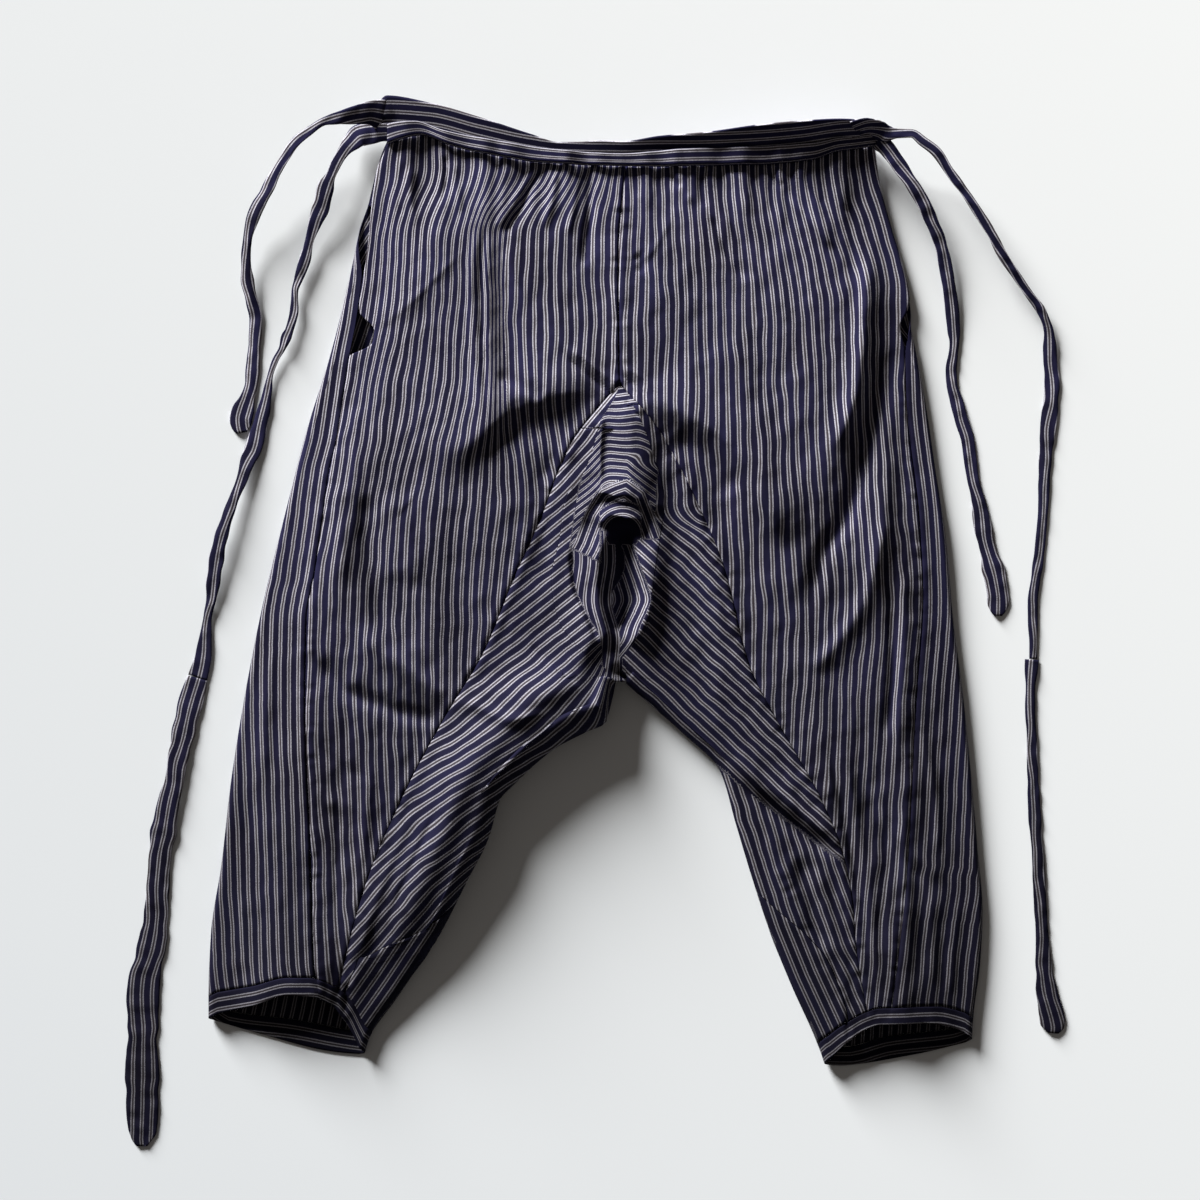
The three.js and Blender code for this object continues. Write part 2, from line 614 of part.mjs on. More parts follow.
// The back band shows its inner side; its outer side faces away from the garment.
const BACK_BAND_LEFT = -181;
const BACK_BAND_RIGHT = 224;
const BACK_BAND_STEPS = 26;
const backFeet = [];
for (let i = 0; i <= BACK_BAND_STEPS; i += 1) {
  const x = mix(BACK_BAND_LEFT, BACK_BAND_RIGHT, i / BACK_BAND_STEPS);
  backFeet.push(new THREE.Vector3(x, yAt(BACK_WAIST, x), BACK_BAND_FOOT));
}
addCloth(
  'waistband_back',
  clothSolid(bandRows(backFeet, BACK_BAND_TOP, BACK_BAND_WIDTH, -1), BAND_WALL),
  GREY_NAVY,
);

// ---------------------------------------------------------------- ties
// A tie's sections: [x, y, height of its middle, width, roll in degrees about its own way].
const TIES = {
  tie_back_left: [
    [-181.3, 427.5, 15.5, 34, -44], [-189, 429.5, 19, 21, -44], [-197, 428, 22.5, 16.5, -38],
    [-206.5, 425.8, 24.5, 11.9, -25],
    [-218.4, 424.1, 26, 7.6, -10], [-228.7, 421.6, 27, 6.4, 0], [-241.4, 413.1, 27, 7.6, 8],
    [-252.4, 404.6, 26, 8.5, 10], [-261.8, 391, 24, 8.5, 10], [-270.3, 377.4, 22, 9.3, 10],
    [-277.9, 362.9, 20, 11, 8], [-286.4, 348.5, 17, 11, 8], [-291.6, 334.9, 14, 10.2, 6],
    [-294.1, 324.7, 12, 8.2, 5], [-295.8, 308.6, 9, 8.1, 5], [-294.9, 290.7, 6, 10.8, 4],
    [-291.6, 273.7, 4, 10.2, 0], [-288.1, 256.7, 2, 10.2, 0], [-289, 239.7, 1.2, 11.2, 0],
    [-290.7, 218.4, 1.2, 11.4, 0], [-292, 202.3, 1.2, 11.4, 0], [-295.8, 188.7, 1.2, 14.9, 0],
    [-298.8, 180.2, 1.2, 18.7, 0], [-300.9, 171.7, 1.2, 19.6, 0], [-300.8, 164.9, 1.2, 15.6, 0],
    [-300.1, 160.7, 1.2, 9.3, 0],
  ],
  tie_front_left: [
    [-177, 413.2, 12.2, 14.5, -25], [-183, 412.5, 10.5, 12, -14], [-190, 411, 8, 11, -6],
    [-198.9, 411.5, 8, 13, -4],
    [-205.7, 407, 11, 13.6, 0], [-211.7, 399.5, 14, 11.5, 0], [-218.4, 388.4, 16, 8.9, 0],
    [-222.3, 379.9, 17, 8.9, 0], [-227.8, 367.2, 16, 13.6, 0], [-231.2, 352.8, 13.5, 14.4, 0],
    [-236.7, 339.1, 11, 11, 0], [-242.2, 323, 8, 7.6, 0], [-245.7, 308.6, 6.5, 10.5, 0],
    [-251.6, 290.7, 5.5, 7.4, 0], [-254.7, 280.5, 5, 6.2, 0], [-255.2, 265.2, 5, 7.6, 0],
    [-259.2, 248.2, 5, 7.3, 0], [-261.8, 242.2, 5, 9.3, 0], [-265.6, 232, 4.5, 6.4, 0],
    [-271.1, 222.7, 4, 4.9, 0], [-275.8, 209.1, 3, 5.1, 0], [-277.9, 197.2, 2.2, 7.8, 0],
    [-281.3, 180.2, 1.6, 11, 0], [-285.6, 163.2, 1.4, 13, 0], [-290.7, 146.2, 2.5, 13.6, 0],
    [-294.5, 137.7, 3.5, 12.3, 0], [-299.6, 120.7, 5, 10.2, 0], [-306, 105.4, 6.5, 8.3, 0],
    [-312.5, 86.7, 7.5, 9.6, 0], [-317.6, 69.7, 7.5, 11.3, 0], [-321.3, 52.7, 6, 13, 0],
    [-323.8, 35.7, 4.5, 12.6, 0], [-326, 18.7, 3, 8.3, 0], [-328.7, 6, 2, 7.6, 0],
    [-331.1, -15.3, 1.4, 11.7, 0], [-333.2, -32.3, 1.2, 14, 0], [-337.6, -47.2, 1.2, 15.7, 0],
  ],
  tie_front_left_end: [
    [-337.7, -47.55, 1.2, 16.6, 0], [-343, -66.3, 1.4, 21.2, 0], [-347.2, -83.3, 1.8, 20.4, 0],
    [-351.1, -100.3, 2.4, 18.7, 0], [-354.4, -117.3, 3, 16.6, 0], [-357, -134.3, 3.2, 17.8, 0],
    [-361.8, -151.3, 3, 19, 0], [-366.3, -176.8, 2.2, 21.7, 0], [-369.9, -202.3, 1.6, 18.4, 0],
    [-372, -236.3, 1.2, 20.7, 0], [-374.3, -261.8, 1.2, 22.5, 0], [-379.3, -287.3, 1.2, 23.1, 0],
    [-382.9, -304.3, 1.2, 25.8, 0], [-384.2, -321.3, 1.2, 26.3, 0], [-383.9, -338.3, 1.2, 24.6, 0],
    [-384.9, -363.8, 1.2, 26.3, 0], [-384.7, -389.3, 1.2, 27.7, 0], [-384.6, -414.8, 1.2, 27.2, 0],
    [-384.4, -431.8, 1.2, 24.6, 0], [-385.1, -440.3, 1.2, 17, 0], [-385.1, -445.4, 1.2, 9.3, 0],
  ],
  tie_front_right: [
    [241, 410.2, 15.5, 14, 58], [245.7, 401.2, 18.5, 14.4, 34], [253.3, 391, 20, 13.6, 12],
    [264.3, 374.8, 20, 11.9, 4], [277.9, 353.6, 17, 10.6, 0], [285.2, 338.3, 14, 11.5, 0],
    [291.1, 324.7, 11.5, 10.8, 0], [295.5, 309.4, 9, 11.7, 0], [299, 292.4, 6.5, 11.7, 0],
    [302.6, 270.3, 4, 12.9, 0], [304.7, 248.2, 2.4, 11.5, 0], [305.3, 238, 2, 8.2, 0],
    [304.3, 226.9, 1.6, 9.2, 0], [302.6, 214.2, 1.4, 10.2, 0], [303.4, 201.4, 1.2, 10, 0],
    [306.8, 188.7, 1.2, 11.2, 0], [311.4, 171.7, 1.2, 12.2, 0], [316.6, 154.7, 1.2, 11.4, 0],
    [318.9, 137.7, 1.2, 11.2, 0], [321.3, 120.7, 1.2, 10.2, 0], [325.6, 103.7, 1.2, 12.3, 0],
    [328.4, 86.7, 1.2, 14.9, 0], [332, 69.7, 1.2, 15, 0], [336.3, 52.7, 1.2, 16.7, 0],
    [340.4, 35.7, 1.2, 20.1, 0], [342.6, 18.7, 1.2, 19.8, 0], [342.6, 9.3, 1.2, 13.6, 0],
    [342.6, 5.1, 1.2, 6.8, 0],
  ],
  tie_back_right: [
    [227.4, 419.1, 20, 22.9, 62], [237.2, 420, 25.5, 14.5, 52], [245.7, 414.4, 27, 10.2, 30],
    [255.8, 411.4, 29, 7.3, 10], [266.1, 411.4, 29.5, 7.3, 0], [276.2, 404.6, 29, 8.1, 0],
    [287.3, 396.1, 28, 8.5, 0], [298.3, 380.4, 26, 7.4, 0], [311.1, 363.8, 24, 7.6, 0],
    [323, 346.4, 21.5, 7.6, 0], [334.9, 328.5, 19, 7.9, 0], [344.2, 310.7, 16.5, 8.3, 0],
    [357.5, 292, 13, 7.6, 0], [368.9, 276.2, 10, 7.6, 0], [379.5, 261.8, 7, 7.6, 0],
    [385.5, 244.8, 4, 8.5, 0], [386.2, 234.6, 2.6, 10.6, 0], [386.8, 222.7, 1.6, 11.9, 0],
    [388.4, 205.7, 1.2, 13.6, 0], [387.4, 188.7, 1.2, 13.4, 0], [385.8, 171.7, 1.2, 13.1, 0],
    [384.1, 154.7, 1.2, 12.4, 0], [382.5, 137.7, 1.2, 11, 0], [381.6, 119, 1.2, 10.5, 0],
    [381.1, 102, 1.2, 9.3, 0], [378.6, 69.7, 1.2, 9.3, 0], [376.7, 52.7, 1.2, 8.9, 0],
    [374.4, 35.7, 1.2, 8.9, 0], [372, 17, 1.2, 9.3, 0], [372, 1.7, 1.2, 9, 0],
    [372.3, -15.3, 1.2, 7.2, 0], [372.3, -31.4, 1.2, 6.8, 0],
  ],
  tie_back_right_end: [
    [371.2, -31.9, 1.4, 11.5, 0], [370.6, -41.6, 1.4, 10.7, 0], [370.1, -54.4, 1.2, 8.2, 0],
    [369.8, -74.8, 1.2, 8.5, 0], [371.3, -100.3, 1.2, 8.9, 0], [371.9, -125.8, 1.2, 9.9, 0],
    [372.9, -151.3, 1.2, 10.2, 0], [374.4, -176.8, 1.2, 10.5, 0], [376.6, -200.6, 1.2, 10.5, 0],
    [377.4, -219.3, 1.2, 11.9, 0], [378.1, -236.3, 1.2, 10, 0], [379.7, -261.8, 1.2, 11, 0],
    [381.1, -287.3, 1.2, 13.1, 0], [383.3, -311.1, 1.2, 17.8, 0], [386.8, -328.1, 1.2, 20.4, 0],
    [388.7, -338.3, 1.2, 20.4, 0], [389.6, -345.1, 1.2, 16.1, 0], [389.3, -349.3, 1.2, 8.5, 0],
  ],
};

function tieSections(rows) {
  const middles = rows.map(([x, y, z]) => new THREE.Vector3(x, y, z));
  return rows.map(([, , , width, roll], i) => {
    const before = middles[Math.max(i - 1, 0)];
    const after = middles[Math.min(i + 1, rows.length - 1)];
    const way = after.clone().sub(before).normalize();
    const across = new THREE.Vector3(way.y, -way.x, 0).normalize();
    across.applyAxisAngle(way, THREE.MathUtils.degToRad(roll));
    return { middle: middles[i], across, up: across.clone().cross(way), width };
  });
}

// A tie is a flat tube of folded cloth, thinner at its two folded edges: [across, up].
const TIE_PROFILE = [[-1, 0], [-0.75, -0.5], [0.75, -0.5], [1, 0], [0.75, 0.5], [-0.75, 0.5]];
function tieSolid(rows) {
  const positions = [];
  const sections = tieSections(rows);
  for (const { middle, across, up, width } of sections) {
    for (const [side, height] of TIE_PROFILE) {
      const p = middle.clone()
        .addScaledVector(across, (side * width) / 2)
        .addScaledVector(up, height * TIE_WALL);
      positions.push(p.x, p.y, Math.max(p.z, 0));
    }
  }
  const around = TIE_PROFILE.length;
  const index = [];
  for (let i = 0; i + 1 < sections.length; i += 1) {
    for (let j = 0; j < around; j += 1) {
      const a = i * around + j;
      const b = i * around + ((j + 1) % around);
      index.push(a, a + around, b, b, a + around, b + around);
    }
  }
  const last = (sections.length - 1) * around;
  for (let j = 1; j + 1 < around; j += 1) {
    index.push(0, j, j + 1);
    index.push(last, last + j + 1, last + j);
  }
  const geometry = new THREE.BufferGeometry();
  geometry.setAttribute('position', new THREE.Float32BufferAttribute(positions, 3));
  geometry.setIndex(index);
  geometry.computeVertexNormals();
  return geometry;
}
for (const [name, rows] of Object.entries(TIES)) addCloth(name, tieSolid(rows), GREY_NAVY);

export default garment;
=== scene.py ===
"""A pair of monpe in striped cotton, laid out flat with the front up, as the photo shows it.

Sizes in the tables are millimetres: +X to the right of the laid-out garment, +Y from the hems
to the waist, +Z up from the surface. The shown cloth follows the solids' relief, with lower
folds and with finer creases of its own.
"""
import math

import bpy
import numpy as np
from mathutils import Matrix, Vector


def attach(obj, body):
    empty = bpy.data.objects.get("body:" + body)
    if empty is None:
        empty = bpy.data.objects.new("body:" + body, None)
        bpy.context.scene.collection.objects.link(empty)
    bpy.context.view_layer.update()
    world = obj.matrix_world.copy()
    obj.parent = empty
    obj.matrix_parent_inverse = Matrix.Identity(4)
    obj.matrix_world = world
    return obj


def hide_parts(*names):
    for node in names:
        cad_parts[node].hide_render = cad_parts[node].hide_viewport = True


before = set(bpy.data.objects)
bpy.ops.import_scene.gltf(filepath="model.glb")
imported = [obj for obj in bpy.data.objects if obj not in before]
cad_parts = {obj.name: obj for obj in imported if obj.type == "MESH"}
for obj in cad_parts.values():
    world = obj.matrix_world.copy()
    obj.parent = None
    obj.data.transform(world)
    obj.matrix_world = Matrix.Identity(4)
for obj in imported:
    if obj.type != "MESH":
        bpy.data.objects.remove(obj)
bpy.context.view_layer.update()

# ------------------------------------------------------------------ sizes
WALL = 0.7             # the shown cloth
BAND_WALL = 1.5
SEAM_GAP = 0.12        # half of the space between two panels at a seam
PITCH = 8.1            # from one pair of light stripes to the next

# ------------------------------------------------------------------ outlines and seams
# Outlines are rows of [x, y, thickness of the turned edge], and all other lines rows of [x, y].
# The left leg's inner edge is fuller than its solid, as the photo shows it.
OUTER_LEFT = [
    [-176, 405, 9], [-186, 384, 8], [-197, 342, 8], [-210, 282, 8], [-225, 223, 9], [-244, 163, 9],
    [-264, 87, 9], [-283, 10, 9], [-298, -66, 9], [-309, -134, 9], [-317, -202, 9],
    [-326, -262, 9], [-328, -315, 10], [-328, -334, 10],
]
OUTER_RIGHT = [
    [238, 410, 9], [242, 376, 8], [253, 333, 8], [262, 303, 8], [269, 274, 9], [268, 252, 9],
    [272, 231, 9], [280, 189, 8], [289, 129, 8], [298, 70, 9], [304, 2, 9], [312, -58, 9],
    [319, -126, 9], [325, -194, 9], [329, -245, 9], [327, -287, 9], [321, -332, 10], [320, -351, 10],
]
INNER_LEFT = [
    [19, -43, 30], [14, -66, 34], [10, -76, 37], [-4, -82, 38], [-30, -96, 38], [-60, -122, 37],
    [-79, -144, 35], [-89, -177, 33], [-106, -211, 30], [-132, -262, 23], [-166, -313, 14],
    [-190, -347, 11], [-196, -364, 11],
]
INNER_RIGHT = [
    [20, -42, 24], [38, -58, 22], [72, -88, 19], [105, -122, 16], [119, -168, 14], [132, -211, 12],
    [149, -262, 12], [166, -304, 12], [189, -354, 12], [195, -372, 12],
]
SIDE_SEAM_LEFT = [
    [-190, 367], [-195, 316], [-202, 258], [-208, 226], [-219, 154], [-225, 129], [-231, 85],
    [-237, 44], [-244, 2], [-245, -66], [-241, -177], [-237, -287], [-234, -309],
]
SIDE_SEAM_RIGHT = [
    [269, 274], [264, 250], [263, 232], [264, 189], [275, 87], [278, 19], [272, -66],
    [264, -211], [251, -324],
]
CENTRE_SEAM = [[26, 388], [20, 308], [21, 201]]
CHEVRON_LEFT = [
    [21, 201], [14, 194], [4, 183], [-5, 172], [-17, 157], [-26, 139], [-34, 120], [-44, 92],
    [-67, 41], [-94, -25], [-128, -82], [-161, -144], [-194, -222], [-213, -293], [-217, -313],
]
CHEVRON_RIGHT = [
    [21, 201], [55, 161], [86, 102], [109, 47], [131, -37], [150, -76], [170, -111], [190, -147],
    [209, -193], [218, -235], [221, -277], [230, -330],
]
CROTCH_LEFT = [
    [4, 167], [-8, 129], [-25, 104], [-30, 70], [-37, 36], [-31, 2], [-13, -22], [9, -39],
]
CROTCH_RIGHT = [
    [28, 189], [38, 172], [48, 146], [59, 104], [55, 70], [50, 36], [45, 2], [37, -22], [26, -36],
]
SLIT_EDGE_LEFT = [
    [-176, 405], [-185, 384], [-188, 367], [-193, 316], [-200, 264], [-187, 247], [-189, 236],
    [-208, 226],
]
SLIT_EDGE_RIGHT = [
    [237, 408], [241, 376], [252, 333], [261, 303], [267, 274], [265, 264], [259, 250], [263, 232],
]
INNER_SEAM_LEFT = [[-139, -254], [-197, -293], [-210, -313], [-212, -330]]
INNER_SEAM_RIGHT = [[157, -215], [212, -332], [214, -350]]
WAIST_SEAM = [
    [-176, 405], [-162, 410], [-147, 413], [-122, 404], [-87, 396], [-47, 390], [4, 387], [53, 386],
    [94, 387], [143, 388], [183, 392], [205, 399], [240, 404],
]
BACK_WAIST = [
    [-184, 414], [-176, 416], [-140, 414], [-98, 404], [-55, 395], [-30, 392], [4, 391], [23, 391],
    [55, 392], [89, 393], [140, 396], [174, 399], [208, 404], [240, 406],
]
HEM = [
    [-328, -315], [-291, -308], [-259, -300], [-242, -300], [-218, -309], [-206, -320], [-191, -345],
    [189, -354], [208, -342], [228, -330], [241, -326], [287, -325], [321, -333],
]
HEM_UNDER = [
    [-328, -318], [-314, -330], [-254, -338], [-212, -346], [-191, -349], [189, -361], [212, -361],
    [248, -352], [311, -344], [321, -338],
]
HEM_EDGE = [
    [-328, -334], [-291, -325], [-259, -315], [-241, -316], [-224, -323], [-210, -340], [-196, -362],
    [195, -371], [214, -355], [230, -344], [241, -340], [277, -339], [298, -342], [320, -350],
]
HEM_EDGE_UNDER = [
    [-328, -337], [-287, -349], [-223, -365], [-201, -367], [195, -375], [203, -377], [268, -368],
    [320, -356],
]
FRONT_BAND_TOP = [
    [-184, 420], [-168, 423], [-152, 424], [-128, 416], [-87, 408], [-26, 399], [22, 396],
    [76, 400], [143, 402], [183, 405], [205, 409], [240, 413],
]
BACK_BAND_TOP = [
    [-184, 438], [-176, 445], [-140, 439], [-98, 427], [-55, 413], [-30, 406], [-13, 406], [4, 407],
    [23, 406], [55, 410], [89, 412], [140, 418], [174, 421], [208, 423], [240, 421],
]
# The cloth's height down the garment's middle: [height, y].
CROWN = [
    [9, 412], [11, 385], [15, 330], [16, 200], [17, 80], [16, -60], [15, -180], [18, -260],
    [22, -310], [23, -345],
]
# Gathers below the front band: [x at the band, the foot's x and y, width, height].
GATHERS = [
    [-161, -168, 335, 7, 3.5], [-140, -146, 345, 6, -2.5], [-126, -130, 330, 7, 3.5],
    [-108, -106, 345, 6, -2], [-92, -93, 320, 7, 3], [-70, -84, 332, 7, 3], [-44, -77, 326, 7, -4],
    [-24, -34, 340, 7, 3.5], [-8, -4, 308, 6, -3.5], [40, 44, 345, 7, 2.5], [66, 72, 350, 5, 4],
    [82, 82, 345, 6, 3], [99, 131, 284, 6, -3.5], [124, 128, 340, 7, 3], [152, 158, 362, 5, 4],
    [162, 204, 315, 7, 3.5], [186, 196, 345, 6, -3], [204, 212, 345, 7, 3], [221, 228, 340, 6, -2.5],
]
# The solids' folds, each along a curve that a middle point bends: [start x, y, middle x, y,
# end x, y, width on the left-hand side of the way, width on its right-hand side, height].
FOLDS = [
    [34, 202, 124, 150, 166, 62, 34, 13, 10],
    [10, 196, -72, 204, -142, 118, 14, 34, 9.5],
    [-8, 172, -52, 168, -86, 150, 12, 16, -5],
    [23, 200, 46, 140, 18, 92, 26, 22, 22],
    [2, 84, -18, 20, 8, -62, 14, 14, 12],
    [48, 92, 56, 20, 30, -30, 11, 11, 11],
    [24, 74, 28, 30, 24, -20, 9, 9, -9],
    [-34, 150, -52, 90, -44, 20, 12, 12, -5],
    [66, 150, 84, 90, 120, -30, 14, 11, 6],
    [-132, -70, -70, -52, -10, -66, 12, 16, 6],
    [-92, 333, -90, 250, -92, 160, 7, 7, 5],
    [-80, 330, -56, 262, 16, 204, 9, 8, 1.2],
    [-105, 322, -150, 280, -184, 246, 8, 10, 1],
    [230, 325, 240, 230, 190, 130, 12, 9, 5],
    [262, 246, 238, 180, 200, 57, 12, 14, -5],
    [250, 150, 246, 100, 232, 36, 9, 10, 5],
    [-150, 120, -128, 60, -136, -20, 14, 16, 3],
    [-208, 190, -196, 110, -222, 20, 9, 12, 4],
    [176, -20, 196, -90, 214, -170, 14, 14, 4],
    [-180, -190, -184, -240, -206, -290, 9, 9, 3],
    [236, -180, 240, -240, 256, -300, 9, 9, 4],
    [272, -190, 276, -240, 280, -310, 8, 8, -3],
]
# Ties from the band to the free end: [x, y, width, z, roll in degrees]. A roll of 0 is left out,
# and so is the z where a tie lies on the surface.
TIES = {
    "tie_back_left": [
        [-179, 428.8, 28, 15.5, -20], [-189, 430.2, 22.5, 18, -20], [-199, 428.6, 18, 21, -18],
        [-208, 426.6, 14.3, 24, -15], [-218.4, 424.4, 9.5, 26, -10], [-228.7, 421.6, 7, 27],
        [-241.4, 413.1, 7.6, 27, 8], [-252.4, 404.6, 8.5, 26, 10], [-261.8, 391, 8.5, 24, 10],
        [-270.3, 377.4, 9.3, 22, 10], [-277.9, 362.9, 11, 20, 8], [-286.4, 348.5, 11, 17, 8],
        [-291.6, 334.9, 10.2, 14, 6], [-294.1, 324.7, 8.2, 12, 5], [-295.8, 308.6, 8.1, 9, 5],
        [-294.9, 290.7, 10.8, 6, 4], [-291.6, 273.7, 10.2, 4], [-288.1, 256.7, 10.2, 2],
        [-289, 239.7, 11.2], [-290.7, 218.4, 11.4], [-292, 202.3, 11.4], [-295.8, 188.7, 14.9],
        [-298.8, 180.2, 18.7], [-300.9, 171.7, 19.6], [-300.8, 164.9, 15.6], [-300.1, 160.7, 9.3],
    ],
    "tie_front_left": [
        [-174.5, 414.8, 18, 12.4, -25], [-183, 414.5, 16, 11, -14], [-190, 414, 17, 9, -6],
        [-198.9, 412.5, 18, 9, -4], [-205.7, 406.5, 16.5, 11], [-211.7, 399.5, 11.5, 14],
        [-218.4, 388.4, 8.9, 16], [-222.3, 379.9, 8.9, 17], [-227.8, 367.2, 13.6, 16],
        [-231.2, 352.8, 14.4, 13.5], [-236.7, 339.1, 11, 11], [-242.2, 323, 7.6, 8],
        [-245.7, 308.6, 10.5, 6.5], [-251.6, 290.7, 7.4, 5.5], [-254.7, 280.5, 6.2, 5],
        [-255.2, 265.2, 7.6, 5], [-259.2, 248.2, 7.3, 5], [-261.8, 242.2, 9.3, 5],
        [-265.6, 232, 6.4, 4.5], [-271.1, 222.7, 4.9, 4], [-275.8, 209.1, 5.1, 3],
        [-277.9, 197.2, 7.8, 2.2], [-281.3, 180.2, 11, 1.6], [-285.6, 163.2, 13, 1.4],
        [-290.7, 146.2, 13.6, 2.5], [-294.5, 137.7, 12.3, 3.5], [-299.6, 120.7, 10.2, 5],
        [-306, 105.4, 8.3, 6.5], [-312.5, 86.7, 9.6, 7.5], [-317.6, 69.7, 11.3, 7.5],
        [-321.3, 52.7, 13, 6], [-323.8, 35.7, 12.6, 4.5], [-326, 18.7, 8.3, 3],
        [-328.7, 6, 7.6, 2], [-331.1, -15.3, 11.7, 1.4], [-333.2, -32.3, 14],
        [-337.6, -47.2, 15.7],
    ],
    "tie_front_left_end": [
        [-337.7, -47.55, 16.6], [-343, -66.3, 21.2, 1.4], [-347.2, -83.3, 20.4, 1.8],
        [-351.1, -100.3, 18.7, 2.4], [-354.4, -117.3, 16.6, 3], [-357, -134.3, 17.8, 3.2],
        [-361.8, -151.3, 19, 3], [-366.3, -176.8, 21.7, 2.2], [-369.9, -202.3, 18.4, 1.6],
        [-372, -236.3, 20.7], [-374.3, -261.8, 22.5], [-379.3, -287.3, 23.1],
        [-382.9, -304.3, 25.8], [-384.2, -321.3, 26.3], [-383.9, -338.3, 24.6],
        [-384.9, -363.8, 26.3], [-384.7, -389.3, 27.7], [-384.6, -414.8, 27.2],
        [-384.4, -431.8, 24.6], [-385.1, -440.3, 17], [-385.1, -445.4, 9.3],
    ],
    "tie_front_right": [
        [238.4, 409, 18, 14, 44], [245.7, 401.2, 15.4, 18.5, 34], [253.3, 391, 13.6, 20, 12],
        [264.3, 374.8, 11.9, 20, 4], [277.9, 353.6, 10.6, 17], [285.2, 338.3, 11.5, 14],
        [291.1, 324.7, 10.8, 11.5], [295.5, 309.4, 11.7, 9], [299, 292.4, 11.7, 6.5],
        [302.6, 270.3, 12.9, 4], [304.7, 248.2, 11.5, 2.4], [305.3, 238, 8.2, 2],
        [304.3, 226.9, 9.2, 1.6], [302.6, 214.2, 10.2, 1.4], [303.4, 201.4, 10],
        [306.8, 188.7, 11.2], [311.4, 171.7, 12.2], [316.6, 154.7, 11.4], [318.9, 137.7, 11.2],
        [321.3, 120.7, 10.2], [325.6, 103.7, 12.3], [328.4, 86.7, 14.9], [332, 69.7, 15],
        [336.3, 52.7, 16.7], [340.4, 35.7, 20.1], [342.6, 18.7, 19.8], [342.6, 9.3, 13.6],
        [342.6, 5.1, 6.8],
    ],
    "tie_back_right": [
        [221.5, 414, 36, 17, 61], [231, 416, 31, 20.5, 57], [239.5, 414.4, 23, 24, 50],
        [247.4, 412, 13, 26.5, 30], [255.8, 411.4, 7.3, 29, 10], [266.1, 411.4, 7.3, 29.5],
        [276.2, 404.6, 8.1, 29], [287.3, 396.1, 8.5, 28], [298.3, 380.4, 7.4, 26],
        [311.1, 363.8, 7.6, 24], [323, 346.4, 7.6, 21.5], [334.9, 328.5, 7.9, 19],
        [344.2, 310.7, 8.3, 16.5], [357.5, 292, 7.6, 13], [368.9, 276.2, 7.6, 10],
        [379.5, 261.8, 7.6, 7], [385.5, 244.8, 8.5, 4], [386.2, 234.6, 10.6, 2.6],
        [386.8, 222.7, 11.9, 1.6], [388.4, 205.7, 13.6], [387.4, 188.7, 13.4],
        [385.8, 171.7, 13.1], [384.1, 154.7, 12.4], [382.5, 137.7, 11], [381.6, 119, 10.5],
        [381.1, 102, 9.3], [378.6, 69.7, 9.3], [376.7, 52.7, 8.9], [374.4, 35.7, 8.9],
        [372, 17, 9.3], [372, 1.7, 9], [372.3, -15.3, 7.2], [372.3, -31.4, 6.8],
    ],
    "tie_back_right_end": [
        [371.2, -31.9, 11.5, 1.4], [370.6, -41.6, 10.7, 1.4], [370.1, -54.4, 8.2],
        [369.8, -74.8, 8.5], [371.3, -100.3, 8.9], [371.9, -125.8, 9.9], [372.9, -151.3, 10.2],
        [374.4, -176.8, 10.5], [376.6, -200.6, 10.5], [377.4, -219.3, 11.9], [378.1, -236.3, 10],
        [379.7, -261.8, 11], [381.1, -287.3, 13.1], [383.3, -311.1, 17.8], [386.8, -328.1, 20.4],
        [388.7, -338.3, 20.4], [389.6, -345.1, 16.1], [389.3, -349.3, 8.5],
    ],
}
CROWN_RUN = 62         # from the turned edge to the cloth's full height
FOLD_CLEARANCE = 22    # from the turned edge to the folds' full height
LOWEST = 5.2           # the upper cloth stays above this
FOLD_SHARE = 0.66      # the shown folds against the solids' ones
CREASE_SHARE = 0.85    # the shown creases against the heights in their table
OVERHANG = (24, 104, 34, 17)    # the hood's middle x and y, its radius and how far it leans
CENTRE_BACK = 8        # x of the centre back seam
UNDER_TURN = 4         # how far a gusset goes on underneath the leg
INNER_SEAM_GAP = 0.8   # from a gusset's end to the back panel
WRAP_START = 0.06      # share of the way round the outer edge that is taken beside the slits

# Levels run down the garment: 0 is the waist seam, 1 is the seam of the hem bands.
WAIST_LEVEL, HEM_LEVEL = 395, -325      # their y before they follow the seams
LEG_START = 0.61
BAND_END = 1.1
RIGHT_GUSSET_START, LEFT_GUSSET_START, CROTCH_START, CROTCH_END = 0.29, 0.318, 0.2658, 0.614


# ------------------------------------------------------------------ curves and the relief
def mix(a, b, t):
    return a + (b - a) * t


def smooth(t):
    c = np.clip(t, 0, 1)
    return c * c * (3 - 2 * c)


def cubic(t, a, b, leaving, arriving):
    """A curve from a to b as t runs from 0 to 1, with its slopes at both ends."""
    return ((1 + 2 * t) * (1 - t) ** 2 * a + t * (1 - t) ** 2 * leaving
            + t * t * (3 - 2 * t) * b + t * t * (t - 1) * arriving)


def read_table(table, key, value, at):
    """A smooth monotone curve through a table's rows."""
    rows = np.array([[row[key], row[value]] for row in table], float)
    if rows[1, 0] < rows[0, 0]:
        rows = rows[::-1]
    k, v = rows[:, 0], rows[:, 1]
    slope = np.diff(v) / np.diff(k)
    a, b = slope[:-1], slope[1:]
    total = np.where(np.abs(a + b) < 1e-9, 1, a + b)
    tangent = np.concatenate([slope[:1], np.where(a * b > 0, 2 * a * b / total, 0), slope[-1:]])
    at = np.clip(at, k[0], k[-1])
    i = np.clip(np.searchsorted(k, at, side="left") - 1, 0, len(k) - 2)
    span = k[i + 1] - k[i]
    return cubic((at - k[i]) / span, v[i], v[i + 1], span * tangent[i], span * tangent[i + 1])


def x_at(line, y):
    return line(y) if callable(line) else read_table(line, 1, 0, y)


